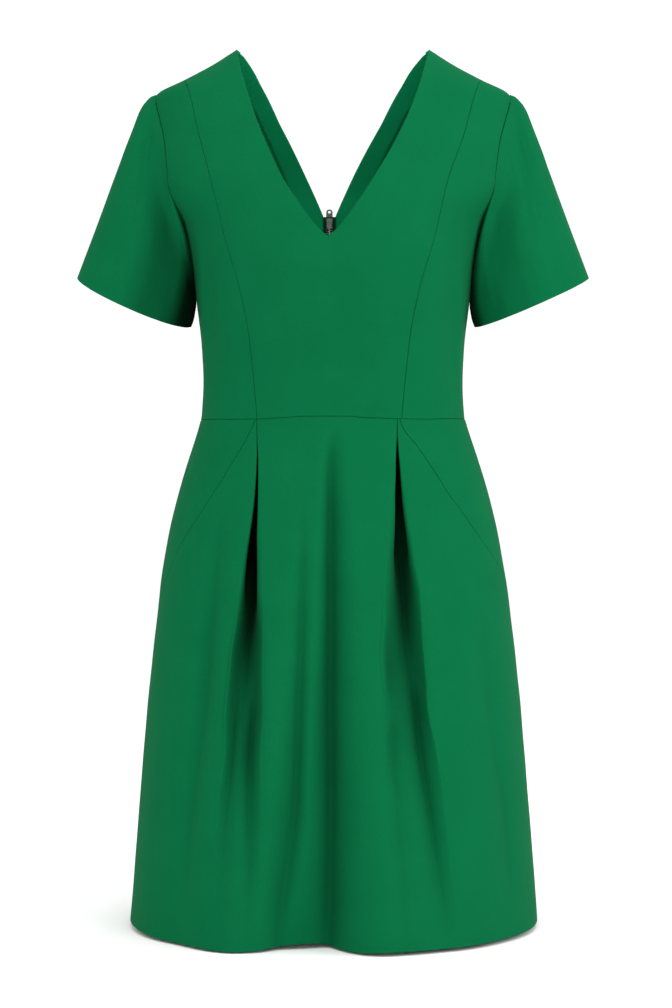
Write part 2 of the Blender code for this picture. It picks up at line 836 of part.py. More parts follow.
def make_slider(frame, metal):
    """Two plates round the chain, joined by a post over its end, and a lug for the pull."""
    inner = CHAIN_THICK / 2 + SLIDER_CLEAR
    outer = inner + SLIDER_WALL
    top, bottom = SLIDER_LENGTH / 2, -SLIDER_LENGTH / 2
    parts = []
    for side in (-1, 1):
        form = bmesh.new()
        rings = []
        for share in (0.0, 0.12, 0.4, 0.7, 0.9, 1.0):
            height = mix(bottom, top, share)
            width = slider_outline(share) - (0.0009 if share in (0.0, 1.0) else 0.0)
            edge = outer - SLIDER_WALL * 0.3
            level = width * 0.8
            line = ((-width, inner), (width, inner), (width, edge), (level, outer), (-level, outer), (-width, edge))
            ring = [Vector((x, side * y, height)) for x, y in line]
            rings.append(ring if side > 0 else list(reversed(ring)))
        loft(form, rings)
        parts.append(add_object("plate", form, metal))
    post = block(SLIDER_POST.x, top - SLIDER_POST.z - 0.0006, top - 0.0006, inner * 2 + SLIDER_WALL)
    parts.append(add_object("post", post, metal))
    lug = bmesh.new()
    pin = Vector((0.0, outer + PIN_OUT, top - PIN_DROP))
    foot = outer - SLIDER_WALL / 2
    rings = []
    for x in (-LUG_HALF_WIDTH, LUG_HALF_WIDTH):
        ring = [Vector((x, foot, pin.z - LUG_RADIUS)), Vector((x, foot, pin.z + LUG_RADIUS))]
        for i in range(ROUND_STEPS // 2 + 1):
            turn = math.pi * i / (ROUND_STEPS // 2)
            y, z = math.sin(turn) * LUG_RADIUS, math.cos(turn) * LUG_RADIUS
            ring.append(Vector((x, pin.y + y, pin.z + z)))
        rings.append(ring)
    loft(lug, [list(reversed(ring)) for ring in rings])
    parts.append(add_object("lug", lug, metal))
    hole = round_bar(PIN_RADIUS + PIN_CLEAR, LUG_HALF_WIDTH * 2, pin)
    slider = join_solids("zip_slider", parts, [add_object("hole", hole, metal)])
    slider.matrix_world = frame
    return pin


def round_bar(radius, half_length, centre):
    """A bar along x."""
    form = bmesh.new()
    rings = []
    for x in (-half_length, half_length):
        ring = []
        for i in range(ROUND_STEPS):
            turn = 2 * math.pi * i / ROUND_STEPS
            spot = Vector((x, math.cos(turn) * radius, math.sin(turn) * radius))
            ring.append(centre + spot)
        rings.append(ring)
    loft(form, rings)
    return form


def join_solids(name, parts, cutters):
    """Joins solids into the first and cuts the others out of it."""
    body = parts[0]
    steps = [(part, "UNION") for part in parts[1:]] + [(part, "DIFFERENCE") for part in cutters]
    for part, operation in steps:
        modifier = body.modifiers.new("join", "BOOLEAN")
        modifier.operation = operation
        modifier.solver = "EXACT"
        modifier.object = part
    graph = bpy.context.evaluated_depsgraph_get()
    mesh = bpy.data.meshes.new_from_object(body.evaluated_get(graph))
    for part in parts + cutters:
        bpy.data.objects.remove(part)
    form = bmesh.new()
    form.from_mesh(mesh)
    bmesh.ops.remove_doubles(form, verts=form.verts[:], dist=1e-6)
    bmesh.ops.triangulate(form, faces=form.faces[:])
    material = mesh.materials[0]
    bpy.data.meshes.remove(mesh)
    return add_object(name, form, material)


def make_pull(frame, pin, metal):
    """The pull tab: a plate with a window round the slider's lug and a hole at its end."""
    form = bmesh.new()
    half, thick = PULL_HALF_WIDTH, PULL_THICK / 2
    low, high = -PIN_RADIUS - 0.0003, PULL_LENGTH - PULL_HALF_WIDTH
    outline = [(-half * 0.86, low), (half * 0.86, low), (half, 0.0012), (half, high)]
    for i in range(1, 8):
        turn = math.pi * i / 8
        outline.append((math.cos(turn) * half, high + math.sin(turn) * half))
    outline += [(-half, high), (-half, 0.0012)]
    rings = [[Vector((x, y, z)) for x, z in outline] for y in (thick, -thick)]
    loft(form, rings)
    plate = add_object("plate", form, metal)
    window = block(PULL_WINDOW_HALF_WIDTH, low * 2, PULL_WINDOW_LENGTH, PULL_THICK * 3)
    bar = round_bar(PIN_RADIUS, PULL_WINDOW_HALF_WIDTH + 0.0004, Vector())
    hole = bmesh.new()
    rings = []
    for y in (thick * 3, -thick * 3):
        ring = []
        for i in range(ROUND_STEPS):
            turn = 2 * math.pi * i / ROUND_STEPS
            x, z = math.cos(turn) * PULL_HOLE_RADIUS, math.sin(turn) * PULL_HOLE_RADIUS
            ring.append(Vector((x, y, high + z)))
        rings.append(ring)
    loft(hole, rings)
    cutters = [add_object("window", window, metal), add_object("hole", hole, metal)]
    tab = join_solids("tab", [plate], cutters)
    pull = join_solids("zip_pull", [tab, add_object("bar", bar, metal)], [])
    lean = Matrix.Rotation(PULL_LEAN, 4, "X")
    pull.matrix_world = frame @ Matrix.Translation(pin) @ lean


def make_zip(tape, metal):
    levels = zip_levels()
    middle = chain_middle()
    inner_edge = CHAIN_HALF_WIDTH + CHAIN_GAP
    outer, inner = -CLOTH - SEAM_GAP, -CLOTH - SEAM_GAP - TAPE_THICK
    right = (inner_edge, ZIP_HALF_GAP, TAPE_HALF_WIDTH)
    zip_strip("zip_tape_right", right, levels, outer, inner, tape)
    left = tuple(-across for across in reversed(right))
    zip_strip("zip_tape_left", left, levels, outer, inner, tape)
    slider_top = BACK_V - SLIDER_TOP_DROP
    chain_top = slider_top - SLIDER_POST.z - 0.0009
    below = slider_top - SLIDER_LENGTH - 0.002
    chain_levels = [height for height in levels[1:] if height < below] + [below, chain_top]
    edges = (-CHAIN_HALF_WIDTH, CHAIN_HALF_WIDTH)
    outer, inner = -middle + CHAIN_THICK / 2, -middle - CHAIN_THICK / 2
    zip_strip("zip_chain", edges, chain_levels, outer, inner, metal)
    frame = zip_frame(below, chain_top, slider_top - SLIDER_LENGTH / 2)
    pin = make_slider(frame, metal)
    make_pull(frame, pin, metal)


def main():
    clear_scene()
    cloth = make_material("crepe", GREEN, 0.75)
    make_bodice(cloth)
    make_sleeve("sleeve_left", False, cloth)
    make_sleeve("sleeve_right", True, cloth)
    make_skirt(cloth)
    tape = make_material("zip tape", INSIDE_TAPE, 0.85)
    make_zip(tape, make_material("gunmetal", GUNMETAL, 0.35, 1.0))


main()
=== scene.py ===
import math

import bmesh
import bpy
import numpy as np
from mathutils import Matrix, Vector
from mathutils.kdtree import KDTree


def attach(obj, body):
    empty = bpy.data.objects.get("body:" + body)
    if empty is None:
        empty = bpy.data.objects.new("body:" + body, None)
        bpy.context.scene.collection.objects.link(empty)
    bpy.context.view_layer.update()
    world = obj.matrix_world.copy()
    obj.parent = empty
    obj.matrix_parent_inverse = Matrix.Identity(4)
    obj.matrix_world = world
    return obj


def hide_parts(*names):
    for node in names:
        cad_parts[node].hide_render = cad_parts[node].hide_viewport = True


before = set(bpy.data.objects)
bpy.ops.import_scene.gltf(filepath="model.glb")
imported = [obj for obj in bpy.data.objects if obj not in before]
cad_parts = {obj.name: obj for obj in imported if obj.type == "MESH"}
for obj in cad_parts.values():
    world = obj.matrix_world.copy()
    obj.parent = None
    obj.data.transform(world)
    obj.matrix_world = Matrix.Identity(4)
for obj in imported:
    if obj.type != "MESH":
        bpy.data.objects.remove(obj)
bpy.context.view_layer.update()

# Metres. Z is up, the front faces -Y and the wearer's left is +X. A place on the bodice or
# the skirt is a girth angle (0 centre front, a quarter turn at the left side seam, half a
# turn at the centre back) and a height.
quarter = math.pi / 2
wearerSides = (("Left", 1), ("Right", -1))  # the word in a piece's name, and its sign
whole = slice(None)

dress = {
    "neckPoint": 0.024,
    "shoulderTip": -0.023,
    "underarm": -0.163,
    "waist": -0.357,
    "hem": -0.881,
    "squareness": 0.07,  # how much squarer than an ellipse each ring is
    "foldSpread": 0.3,  # how far a fold reaches out at the sides, as a share of its depth
    "cloth": 0.0009,
    "seamGap": 0.0002,
    "weld": 2e-6,  # points this near each other become one
    "weaveRadius": 0.13,  # metres of cloth to one radian of girth, for the weave
    "waistLine": (  # girth angle, how far the waist seam sinks
        (-math.pi, 0.004), (-2.2, 0.0042), (-1.57, 0.0042), (-1.0, 0.0048), (-0.78, 0.0056),
        (-0.508, 0.0056), (-0.36, 0.0046), (-0.19, 0.0034), (0.12, 0.0034), (0.22, 0.0048),
        (0.508, 0.0055), (0.7, 0.0056), (0.95, 0.0045), (1.25, 0.0036), (1.57, 0.0032),
        (2.2, 0.0036), (math.pi, 0.004),
    ),
}

# The rings' rows are height, half width, depth in front and depth behind.
bodiceRings = (
    (0.024, 0.0998, 0.036, 0.035),
    (0.0137, 0.1153, 0.044, 0.043),
    (0.0054, 0.1286, 0.050, 0.049),
    (-0.0029, 0.1439, 0.0553, 0.0543),
    (-0.0112, 0.1600, 0.0603, 0.0593),
    (-0.0225, 0.1822, 0.0668, 0.0658),
    (-0.0275, 0.1858, 0.0695, 0.0685),
    (-0.060, 0.1875, 0.085, 0.086),
    (-0.090, 0.1880, 0.098, 0.098),
    (-0.120, 0.1840, 0.109, 0.105),
    (-0.163, 0.1555, 0.119, 0.107),
    (-0.200, 0.1462, 0.122, 0.103),
    (-0.243, 0.1412, 0.116, 0.098),
    (-0.288, 0.1362, 0.105, 0.091),
    (-0.322, 0.1348, 0.098, 0.087),
    (-0.357, 0.1365, 0.095, 0.086),
    (-0.363, 0.1379, 0.0964, 0.0880),
)
skirtRings = (
    (-0.350, 0.1352, 0.0936, 0.0840),
    (-0.357, 0.1365, 0.095, 0.086),
    (-0.363, 0.1379, 0.0964, 0.0880),
    (-0.372, 0.1406, 0.099, 0.092),
    (-0.402, 0.1503, 0.107, 0.104),
    (-0.444, 0.1628, 0.117, 0.117),
    (-0.486, 0.1722, 0.126, 0.126),
    (-0.527, 0.1790, 0.133, 0.132),
    (-0.569, 0.1840, 0.139, 0.137),
    (-0.652, 0.1930, 0.148, 0.144),
    (-0.756, 0.2015, 0.157, 0.151),
    (-0.860, 0.2095, 0.164, 0.158),
    (-0.881, 0.2110, 0.165, 0.159),
    (-0.890, 0.2116, 0.1655, 0.1595),
)


def mix(a, b, share):
    return a + (b - a) * share


def ease(share):
    share = np.clip(share, 0.0, 1.0)
    return share * share * (3 - 2 * share)


def rising(at, start, over):
    return ease((at - start) / over)


def falling(at, start, over):
    # down past the start, or back from it
    return ease((start - at) / over)


def hump(away, width):
    return np.exp(-((away / width) ** 2))


def readCurve(rows, at):
    # a smooth line through a table's rows that never overshoots them, one array a column
    table = np.array(sorted(rows), float)
    levels, values = table[:, 0], table[:, 1:]
    rise = np.diff(values, axis=0) / np.diff(levels)[:, None]
    slope = np.zeros_like(values)
    slope[0], slope[-1] = rise[0], rise[-1]
    before, after = rise[:-1], rise[1:]
    agree = before * after > 0
    slope[1:-1] = np.where(agree, 2 * before * after / np.where(agree, before + after, 1.0), 0.0)
    at = np.clip(np.asarray(at, float), levels[0], levels[-1])
    low = np.clip(np.searchsorted(levels, at, side="right") - 1, 0, len(levels) - 2)
    span = (levels[low + 1] - levels[low])[..., None]
    t = ((at - levels[low]))[..., None] / span
    found = (
        values[low] * (1 + 2 * t) * (1 - t) ** 2
        + slope[low] * span * t * (1 - t) ** 2
        + values[low + 1] * t * t * (3 - 2 * t)
        - slope[low + 1] * span * t * t * (1 - t)
    )
    return np.moveaxis(found, -1, 0)


def ringPlace(rings, angle, height, grow=0.0):
    # an ellipse with its own front and back depth, a little squared
    halfWidth, front, back = readCurve(rings, height)
    c, s = np.cos(angle), np.sin(angle)
    deep = np.where(c > 0, front, back) + grow
    across = (halfWidth + grow * dress["foldSpread"]) * s * (1 + dress["squareness"] * c * c)
    return np.stack([across, -deep * c * (1 + dress["squareness"] * s * s), height + 0 * c], -1)


def angleAt(rings, sideways, height):
    # the girth angle at a distance to the side, as seen from the front
    sideways = np.asarray(sideways, float)
    goal = np.minimum(np.abs(sideways) / readCurve(rings, height)[0], 1.0)
    low, high = np.zeros_like(goal), np.full_like(goal, quarter)
    for _ in range(32):
        middle = (low + high) / 2
        reached = np.sin(middle) * (1 + dress["squareness"] * np.cos(middle) ** 2)
        low, high = np.where(reached < goal, middle, low), np.where(reached < goal, high, middle)
    return np.sign(sideways) * (low + high) / 2


def turnFor(form, angle, height, distance):
    # the girth angle that is a distance long here
    probe = 1e-4
    along = form(angle + probe, height) - form(angle - probe, height)
    return distance * 2 * probe / np.linalg.norm(along, axis=-1)


def outward(form, angle, height):
    probe = 2e-4
    along = form(angle + probe, height) - form(angle - probe, height)
    up = form(angle, height + probe) - form(angle, height - probe)
    return unit(np.cross(along, up))


def unit(vectors):
    return vectors / np.maximum(np.linalg.norm(vectors, axis=-1, keepdims=True), 1e-12)


def wrapped(angle):
    return (angle + np.pi) % (2 * np.pi) - np.pi


def waistDrop(angle):
    return -readCurve(dress["waistLine"], wrapped(angle))[0]


# A grid's lines lie closer together beside an edge, and all the closer on a length under fullSteps.
edgeSteps = np.array([0.0, 0.0001, 0.0003, 0.0006, 0.0010, 0.0019, 0.0036])
fullSteps = 0.02


def spaced(length, count, first=True, last=True):
    # shares of a length, or of each length in an array, with finer steps beside the edges
    length = np.atleast_1d(np.asarray(length, float))[:, None]
    steps = edgeSteps * np.minimum(1.0, length / fullSteps)
    start = steps if first else steps[:, :1]
    end = length - (steps if last else steps[:, :1])[:, ::-1]
    share = np.linspace(0, 1, count)[1:-1]
    middle = start[:, -1:] + (end[:, :1] - start[:, -1:]) * share
    return np.concatenate([start, middle, end], 1) / length


# How cloth behaves at its seams and edges.
seam = {
    "pucker": 0.00016,  # how much the stitching draws the cloth up beside it
    "puckerPitch": 0.0115,
    "puckerReach": 0.007,
    "stitchClear": 0.002,  # it lies flat this near the stitching
    "dartDepth": 0.0008,
    "dartWidth": 0.0013,
    "search": 0.02,  # cloth farther from a seam than this isn't touched by it
    "roll": 0.0009,  # radius of the turn into a seam
    "allowance": (0.0006, 0.0018, 0.0040),  # steps of the cloth turned in at a seam
    "edgeRoll": 0.0010,  # radius of a neckline's or hem's fold
    "zipRoll": 0.0014,
    "endRoll": (0.55, 0.018),  # share of the radius at a side's upper end, full this far down
    "foldTurns": (90, 115, 140, 162, 180),  # degrees round a folded edge
    "foldedFrom": 5,  # the grid's line that the folded cloth starts under
}


def nearest(points, line, reach):
    # distance to a line of points and how far along it, for the points within reach
    steps = np.linalg.norm(np.diff(line, axis=0), axis=1)
    along = np.concatenate([[0.0], np.cumsum(steps)])
    tree = KDTree(len(line))
    for i, place in enumerate(line):
        tree.insert(place, i)
    tree.balance()
    flat = points.reshape(-1, 3)
    away, passed = np.full(len(flat), 1.0), np.zeros(len(flat))
    low, high = line.min(0) - reach, line.max(0) + reach
    for i in np.nonzero(((flat > low) & (flat < high)).all(1))[0]:
        _, index, away[i] = tree.find(flat[i])
        passed[i] = along[index]
    return away.reshape(points.shape[:-1]), passed.reshape(points.shape[:-1])


def pressDart(points, normals, line):
    # a stitched dart is a fine ditch with the cloth a little drawn beside it
    away, along = nearest(points, line, seam["search"])
    sink = seam["dartDepth"] * hump(away, seam["dartWidth"]) + puckered(away, along)
    return points - normals * sink[..., None]


def puckered(away, along):
    # waves of uneven length along the stitching
    wave = np.sin(along * 2 * math.pi / seam["puckerPitch"] + 1.7 * np.sin(along * 31))
    beside = hump(away, seam["puckerReach"]) * (1 - hump(away, seam["stitchClear"]))
    return seam["pucker"] * wave * beside


def turned(array, side):
    # the array with the chosen side's line first, which putBack undoes
    if side in ("first", "last"):
        array = np.swapaxes(array, 0, 1)
    return array[::-1] if side in ("last", "top") else array


def putBack(array, side):
    if side in ("last", "top"):
        array = array[::-1]
    return np.swapaxes(array, 0, 1) if side in ("first", "last") else array


def seams(*sides):
    return [(side, "seam", whole) for side in sides]


def finishEdges(points, normals, uv, sides, shade=None, inward=None, roll=None):
    # rolls the cloth over at each side, or at a stretch of it. A "seam" turns in to an allowance
    # and a number folds the cloth back flat over that many of the grid's lines. Folded cloth has
    # a shade below zero, which is painted light. Returns the patches to be welded.
    folds, first = np.radians(seam["foldTurns"]), seam["foldedFrom"]
    least, full = seam["endRoll"]
    sink = np.zeros(points.shape[:-1])
    shade = np.zeros(points.shape[:-1]) if shade is None else shade
    extra = []
    for side, kind, stretch in sides:
        radius = seam["roll"] if kind == "seam" else roll or seam["edgeRoll"]
        arrays = (points, normals, uv, shade)
        lines, facing, cloth, dark = (turned(array, side)[:, stretch] for array in arrays)
        away, travelled = nearest(points, lines[0], seam["search"])
        if kind != "seam" and side in ("first", "last"):  # finer toward the upper end
            steps = np.linalg.norm(np.diff(lines[0], axis=0), axis=1)
            passed = np.concatenate([[0.0], np.cumsum(steps)])
            bend, radius = (
                radius * (least + (1 - least) * ease((passed[-1] - place) / full))
                for place in (travelled, passed)
            )
            radius = radius[:, None]
        else:
            bend, radius = radius + 0 * travelled, np.full((lines.shape[1], 1), radius)
        inner = np.clip(bend - away, 0, bend)
        sink = np.maximum(sink, bend - np.sqrt(bend**2 - inner**2))
        if kind == "seam":
            sink = sink + puckered(away, travelled)
            turnIn = -facing[0] if inward is None else inward
            rows = [lines[0] - facing[0] * radius]
            rows += [rows[0] + turnIn * step for step in seam["allowance"]]
            spots = [0] * len(rows)
        else:
            level = lines[0] - lines[len(edgeSteps) - 1]
            level = unit(level - facing[0] * (level * facing[0]).sum(-1, keepdims=True))
            rows = []
            for turn in folds:
                out, down = 1 - math.sin(turn), 1 - math.cos(turn)
                rows.append(lines[0] - (level * out + facing[0] * down) * radius)
            back = range(first, first + kind)
            rows += [lines[i] - facing[i] * radius * 2 for i in back]
            spots = [0] * len(folds) + list(back)
        dark = dark[spots]
        # folded-back cloth gets a shade below zero: painted light
        if kind != "seam":
            dark = dark - np.clip(np.arange(len(spots)) / (len(folds) - 1), 0, 1)[:, None]
        order = np.stack(rows)[::-1], cloth[spots][::-1], dark[::-1]
        extra.append([putBack(array, side) for array in order])
    points = points - normals * sink[..., None]
    patches = [{"points": points, "uv": uv, "shade": shade}]
    return patches + [{"points": p, "uv": u, "shade": d} for p, u, d in extra]


def addObject(name, data):
    made = bpy.data.objects.new(name, data)
    bpy.context.scene.collection.objects.link(made)
    return made


def makeCloth(name, patches, material, thickness=None):
    # each patch has points, uv and shade arrays; rows run up and columns to the wearer's left
    verts, faces, uvs, shades, start = [], [], [], [], 0
    for patch in patches:
        rows, columns = patch["points"].shape[:2]
        number = start + np.arange(rows * columns).reshape(rows, columns)
        corners = [number[:-1, :-1], number[:-1, 1:], number[1:, 1:], number[1:, :-1]]
        faces.append(np.stack(corners, -1).reshape(-1, 4))
        verts.append(patch["points"].reshape(-1, 3))
        uvs.append(patch["uv"].reshape(-1, 2))
        shades.append(patch["shade"].reshape(-1))
        start += rows * columns
    verts, faces = np.concatenate(verts), np.concatenate(faces)
    mesh = bpy.data.meshes.new(name)
    mesh.from_pydata(verts.tolist(), [], faces.tolist())
    layer = mesh.uv_layers.new(name="cloth")
    layer.data.foreach_set("uv", np.concatenate(uvs)[faces.reshape(-1)].astype(np.float32).ravel())
    # foldShade holds painted shade, and painted light where it is below zero
    shade = mesh.attributes.new("foldShade", "FLOAT", "POINT")
    shade.data.foreach_set("value", np.concatenate(shades).astype(np.float32))
    form = bmesh.new()
    form.from_mesh(mesh)
    bmesh.ops.remove_doubles(form, verts=form.verts[:], dist=dress["weld"])
    bmesh.ops.dissolve_degenerate(form, edges=form.edges[:], dist=dress["weld"] / 2)
    form.to_mesh(mesh)
    form.free()
    for side in material:
        mesh.materials.append(side)
    mesh.shade_smooth()
    piece = addObject(name, mesh)
    shell = piece.modifiers.new("wall of cloth", "SOLIDIFY")
    shell.thickness = thickness or dress["cloth"]
    shell.offset = -1.0
    shell.use_even_offset = False
    shell.material_offset = len(material) - 1  # the inner face takes the wrong side's material, painted paler as light inside
    return piece


def sewOn(piece, node, cut, area):
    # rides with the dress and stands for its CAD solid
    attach(piece, "dress")
    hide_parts(node)


# Colours are a dark and a light one.
crepe = {
    "right": ((0.0011, 0.0955, 0.0326, 1.0), (0.0021, 0.1255, 0.0438, 1.0)),
    # the wrong side's colours are painted light: paler than the right side so the inside looks lit
    "wrongPaintedLight": ((0.0030, 0.2250, 0.0820, 1.0), (0.0046, 0.2700, 0.0990, 1.0)),
    # the near-black colour of painted shade in pleats, creases and along seams
    "folded": (0.0003, 0.0030, 0.0010, 1.0),
    "roughness": (0.78, 0.90),
    "weave": {"Threads per metre": 2200.0, "Grain per metre": 1500.0, "Grain share": 0.65},
    "shader": {
        "Sheen Weight": 0.011,
        "Sheen Roughness": 0.40,
        "Sheen Tint": (0.70, 1.0, 0.55, 1.0),
        "Specular IOR Level": 0.02,
    },
    "bump": {"Strength": 0.22, "Distance": 0.00025},
}
tape = {
    "right": ((0.0024, 0.0900, 0.0350, 1.0), (0.0044, 0.1300, 0.0510, 1.0)),
    "roughness": (0.80, 0.92),
    "weave": {"Threads per metre": 1500.0, "Grain per metre": 2500.0, "Grain share": 0.2},
    "shader": {"Specular IOR Level": 0.1},
    "bump": {"Strength": 0.5, "Distance": 0.0003},
}
metal = {
    "colours": ((0.040, 0.046, 0.043, 1.0), (0.150, 0.165, 0.156, 1.0)),
    "roughness": (0.42, 0.62),
    "metallic": 0.75,
}


def addNode(tree, kind, values=(), **settings):
    node = tree.nodes.new(kind)
    for key, value in settings.items():
        setattr(node, key, value)
    for key, value in dict(values).items():
        node.inputs[key].default_value = value
    return node


def calculate(tree, operation, first, second):
    node = addNode(tree, "ShaderNodeMath", operation=operation)
    for socket, value in zip(node.inputs, (first, second)):
        if isinstance(value, (int, float)):
            socket.default_value = value
        else:
            tree.links.new(value, socket)
    return node.outputs[0]


def makeThreadGroup():
    # twisted yarns: fine ribs both ways along the cloth, broken up by a pebbled grain
    group = bpy.data.node_groups.new("twistedThreads", "ShaderNodeTree")
    for label, value in crepe["weave"].items():
        socket = group.interface.new_socket(label, in_out="INPUT", socket_type="NodeSocketFloat")
        socket.default_value = value
    for label in ("Height", "Tone"):
        group.interface.new_socket(label, in_out="OUTPUT", socket_type="NodeSocketFloat")
    given, result = group.nodes.new("NodeGroupInput"), group.nodes.new("NodeGroupOutput")
    place = addNode(group, "ShaderNodeTexCoord")
    links = group.links.new

    def noise(**values):
        node = addNode(group, "ShaderNodeTexNoise", values)
        links(place.outputs["Object"], node.inputs["Vector"])
        return node

    ribs = []
    for direction in ("X", "Y"):
        wave = addNode(
            group,
            "ShaderNodeTexWave",
            {"Distortion": 1.6, "Detail": 2.0, "Detail Scale": 1.3},
            bands_direction=direction,
        )
        links(place.outputs["UV"], wave.inputs["Vector"])
        scale = calculate(group, "MULTIPLY", given.outputs["Threads per metre"], math.pi / 10)
        links(scale, wave.inputs["Scale"])
        ribs.append(wave.outputs["Fac"])
    weave = calculate(group, "MULTIPLY", ribs[0], ribs[1])
    grain = noise(Detail=3.0, Roughness=0.6)
    links(given.outputs["Grain per metre"], grain.inputs["Scale"])
    share = given.outputs["Grain share"]
    grained = calculate(group, "MULTIPLY", grain.outputs["Fac"], share)
    rest = calculate(group, "SUBTRACT", 1.0, share)
    woven = calculate(group, "MULTIPLY", weave, rest)
    links(calculate(group, "ADD", grained, woven), result.inputs["Height"])
    cloud = noise(Scale=26.0, Detail=4.0, Roughness=0.55)
    slub = noise(Scale=420.0, Detail=2.0)
    soft = calculate(group, "MULTIPLY", cloud.outputs["Fac"], 0.55)
    fine = calculate(group, "MULTIPLY", slub.outputs["Fac"], 0.45)
    links(calculate(group, "ADD", soft, fine), result.inputs["Tone"])
    return group


def paintedMaterial(name, dark, light, roughness, metallic=0.0):
    # a Principled material whose base colour runs between two colours by a tone value
    material = bpy.data.materials.new(name)
    material.use_nodes = True
    tree = material.node_tree
    shader = tree.nodes["Principled BSDF"]
    shader.inputs["Metallic"].default_value = metallic
    colour = addNode(tree, "ShaderNodeMix", data_type="RGBA")
    colour.inputs["A"].default_value = dark
    colour.inputs["B"].default_value = light
    rough = addNode(tree, "ShaderNodeMapRange", {"To Min": roughness[0], "To Max": roughness[1]})
    tree.links.new(rough.outputs["Result"], shader.inputs["Roughness"])
    return material, tree, shader, colour, rough


def paintedShadeAndLight(tree, colour):
    # painted shade and light: the colour sinks into the fold colour by the cloth's own foldShade,
    # and where that is below zero, as on cloth folded back inside, it is painted paler toward the
    # inside colour
    shade = addNode(tree, "ShaderNodeAttribute", attribute_name="foldShade").outputs["Fac"]
    paintedLight = calculate(tree, "MULTIPLY", shade, -1.0)
    for tint, share in ((crepe["wrongPaintedLight"][0], paintedLight), (crepe["folded"], shade)):
        blend = addNode(tree, "ShaderNodeMix", data_type="RGBA")
        blend.inputs["B"].default_value = tint
        tree.links.new(colour, blend.inputs["A"])
        tree.links.new(share, blend.inputs["Factor"])
        colour = blend.outputs["Result"]
    return colour


def makeWoven(name, cloth, face, toneFrom, roughFrom):
    # toneFrom and roughFrom name the weave's outputs that set the colour's tone and the roughness
    material, tree, shader, colour, rough = paintedMaterial(name, *cloth[face], cloth["roughness"])
    for label, value in cloth["shader"].items():
        shader.inputs[label].default_value = value
    weave = addNode(tree, "ShaderNodeGroup", cloth["weave"], node_tree=threads)
    links = tree.links.new
    links(weave.outputs[toneFrom], colour.inputs["Factor"])
    links(weave.outputs[roughFrom], rough.inputs["Value"])
    links(paintedShadeAndLight(tree, colour.outputs["Result"]), shader.inputs["Base Color"])
    bump = addNode(tree, "ShaderNodeBump", cloth["bump"])
    links(weave.outputs["Height"], bump.inputs["Height"])
    links(bump.outputs["Normal"], shader.inputs["Normal"])
    return material


def makeMetal():
    material, tree, shader, colour, rough = paintedMaterial(
        "gunmetal", *metal["colours"], metal["roughness"], metal["metallic"]
    )
    links = tree.links.new
    place = addNode(tree, "ShaderNodeTexCoord")
    smear = addNode(tree, "ShaderNodeTexNoise", {"Scale": 900.0, "Detail": 5.0, "Roughness": 0.7})
    links(place.outputs["Object"], smear.inputs["Vector"])
    edge = addNode(tree, "ShaderNodeNewGeometry")
    worn = addNode(tree, "ShaderNodeMapRange", {"From Min": 0.50, "From Max": 0.60})
    links(edge.outputs["Pointiness"], worn.inputs["Value"])
    tone = calculate(tree, "MULTIPLY", smear.outputs["Fac"], 0.5)
    links(calculate(tree, "ADD", tone, worn.outputs["Result"]), colour.inputs["Factor"])
    links(colour.outputs["Result"], shader.inputs["Base Color"])
    links(smear.outputs["Fac"], rough.inputs["Value"])
    return material


threads = makeThreadGroup()
greenCrepe = (
    makeWoven("greenCrepe", crepe, "right", "Tone", "Height"),
    makeWoven("wrongSidePaintedLight", crepe, "wrongPaintedLight", "Tone", "Height"),
)
zipTape = (makeWoven("zipTape", tape, "right", "Height", "Tone"),)
gunmetal = makeMetal()
print("materials are ready")


bodice = {
    "bustSeam": (  # height, half width
        (-0.008, 0.1575), (-0.014, 0.1515), (-0.076, 0.1337), (-0.122, 0.1192), (-0.184, 0.1036),
        (-0.229, 0.0906), (-0.276, 0.0814), (-0.315, 0.0768), (-0.357, 0.0723),
    ),
    # half width at the centre, height, rise, and how much its point is rounded
    "frontNeck": (0.0004, -0.1822, 0.0145, 0.0036),
    "rounding": 0.02,  # share of a neckline over which its point is rounded
    "backNeck": (0.0066, -0.136, -0.0060, 0.0),
    "backTight": (  # height, how far the back neckline is drawn in
        (-0.136, 0.0), (-0.044, 0.0008), (-0.028, 0.0024), (-0.0155, 0.0038), (-0.003, 0.0046),
        (0.009, 0.0058), (0.0215, 0.0046), (0.024, 0.0),
    ),
    "armholeFront": 0.52,
    "armholeBack": 0.42,
    "armholeTaper": 0.30,
    "lean": (  # height, how far the front's lines lie to the wearer's right
        (0.024, 0.001), (-0.014, 0.001), (-0.076, 0.0026), (-0.13, 0.0052), (-0.184, 0.0049),
        (-0.24, 0.0046), (-0.363, 0.0045),
    ),
    "backLean": (
        (0.024, 0.0012), (0.009, 0.0016), (-0.05, 0.003), (-0.1, 0.004), (-0.145, 0.004),
        (-0.25, 0.002), (-0.357, 0.0),
    ),
    "dart": ((-0.357, 0.0700), (-0.215, 0.0820)),  # height, half width at its two ends
    "rumple": 0.00045,
    "neckFade": 0.05,  # folds die out within this of the neck point
    "waistReach": 0.45,  # share of the way up to the underarm that the waist seam's dip fades in
    "lowerRows": 58,
    "upperRows": 50,
    "centreColumns": 30,
    "sideColumns": 20,
    "backColumns": 56,
    "neckLines": 6,  # the grid's lines folded back at the front neckline
    "zipLines": 7,  # and at the zip's edge and the back neckline
}

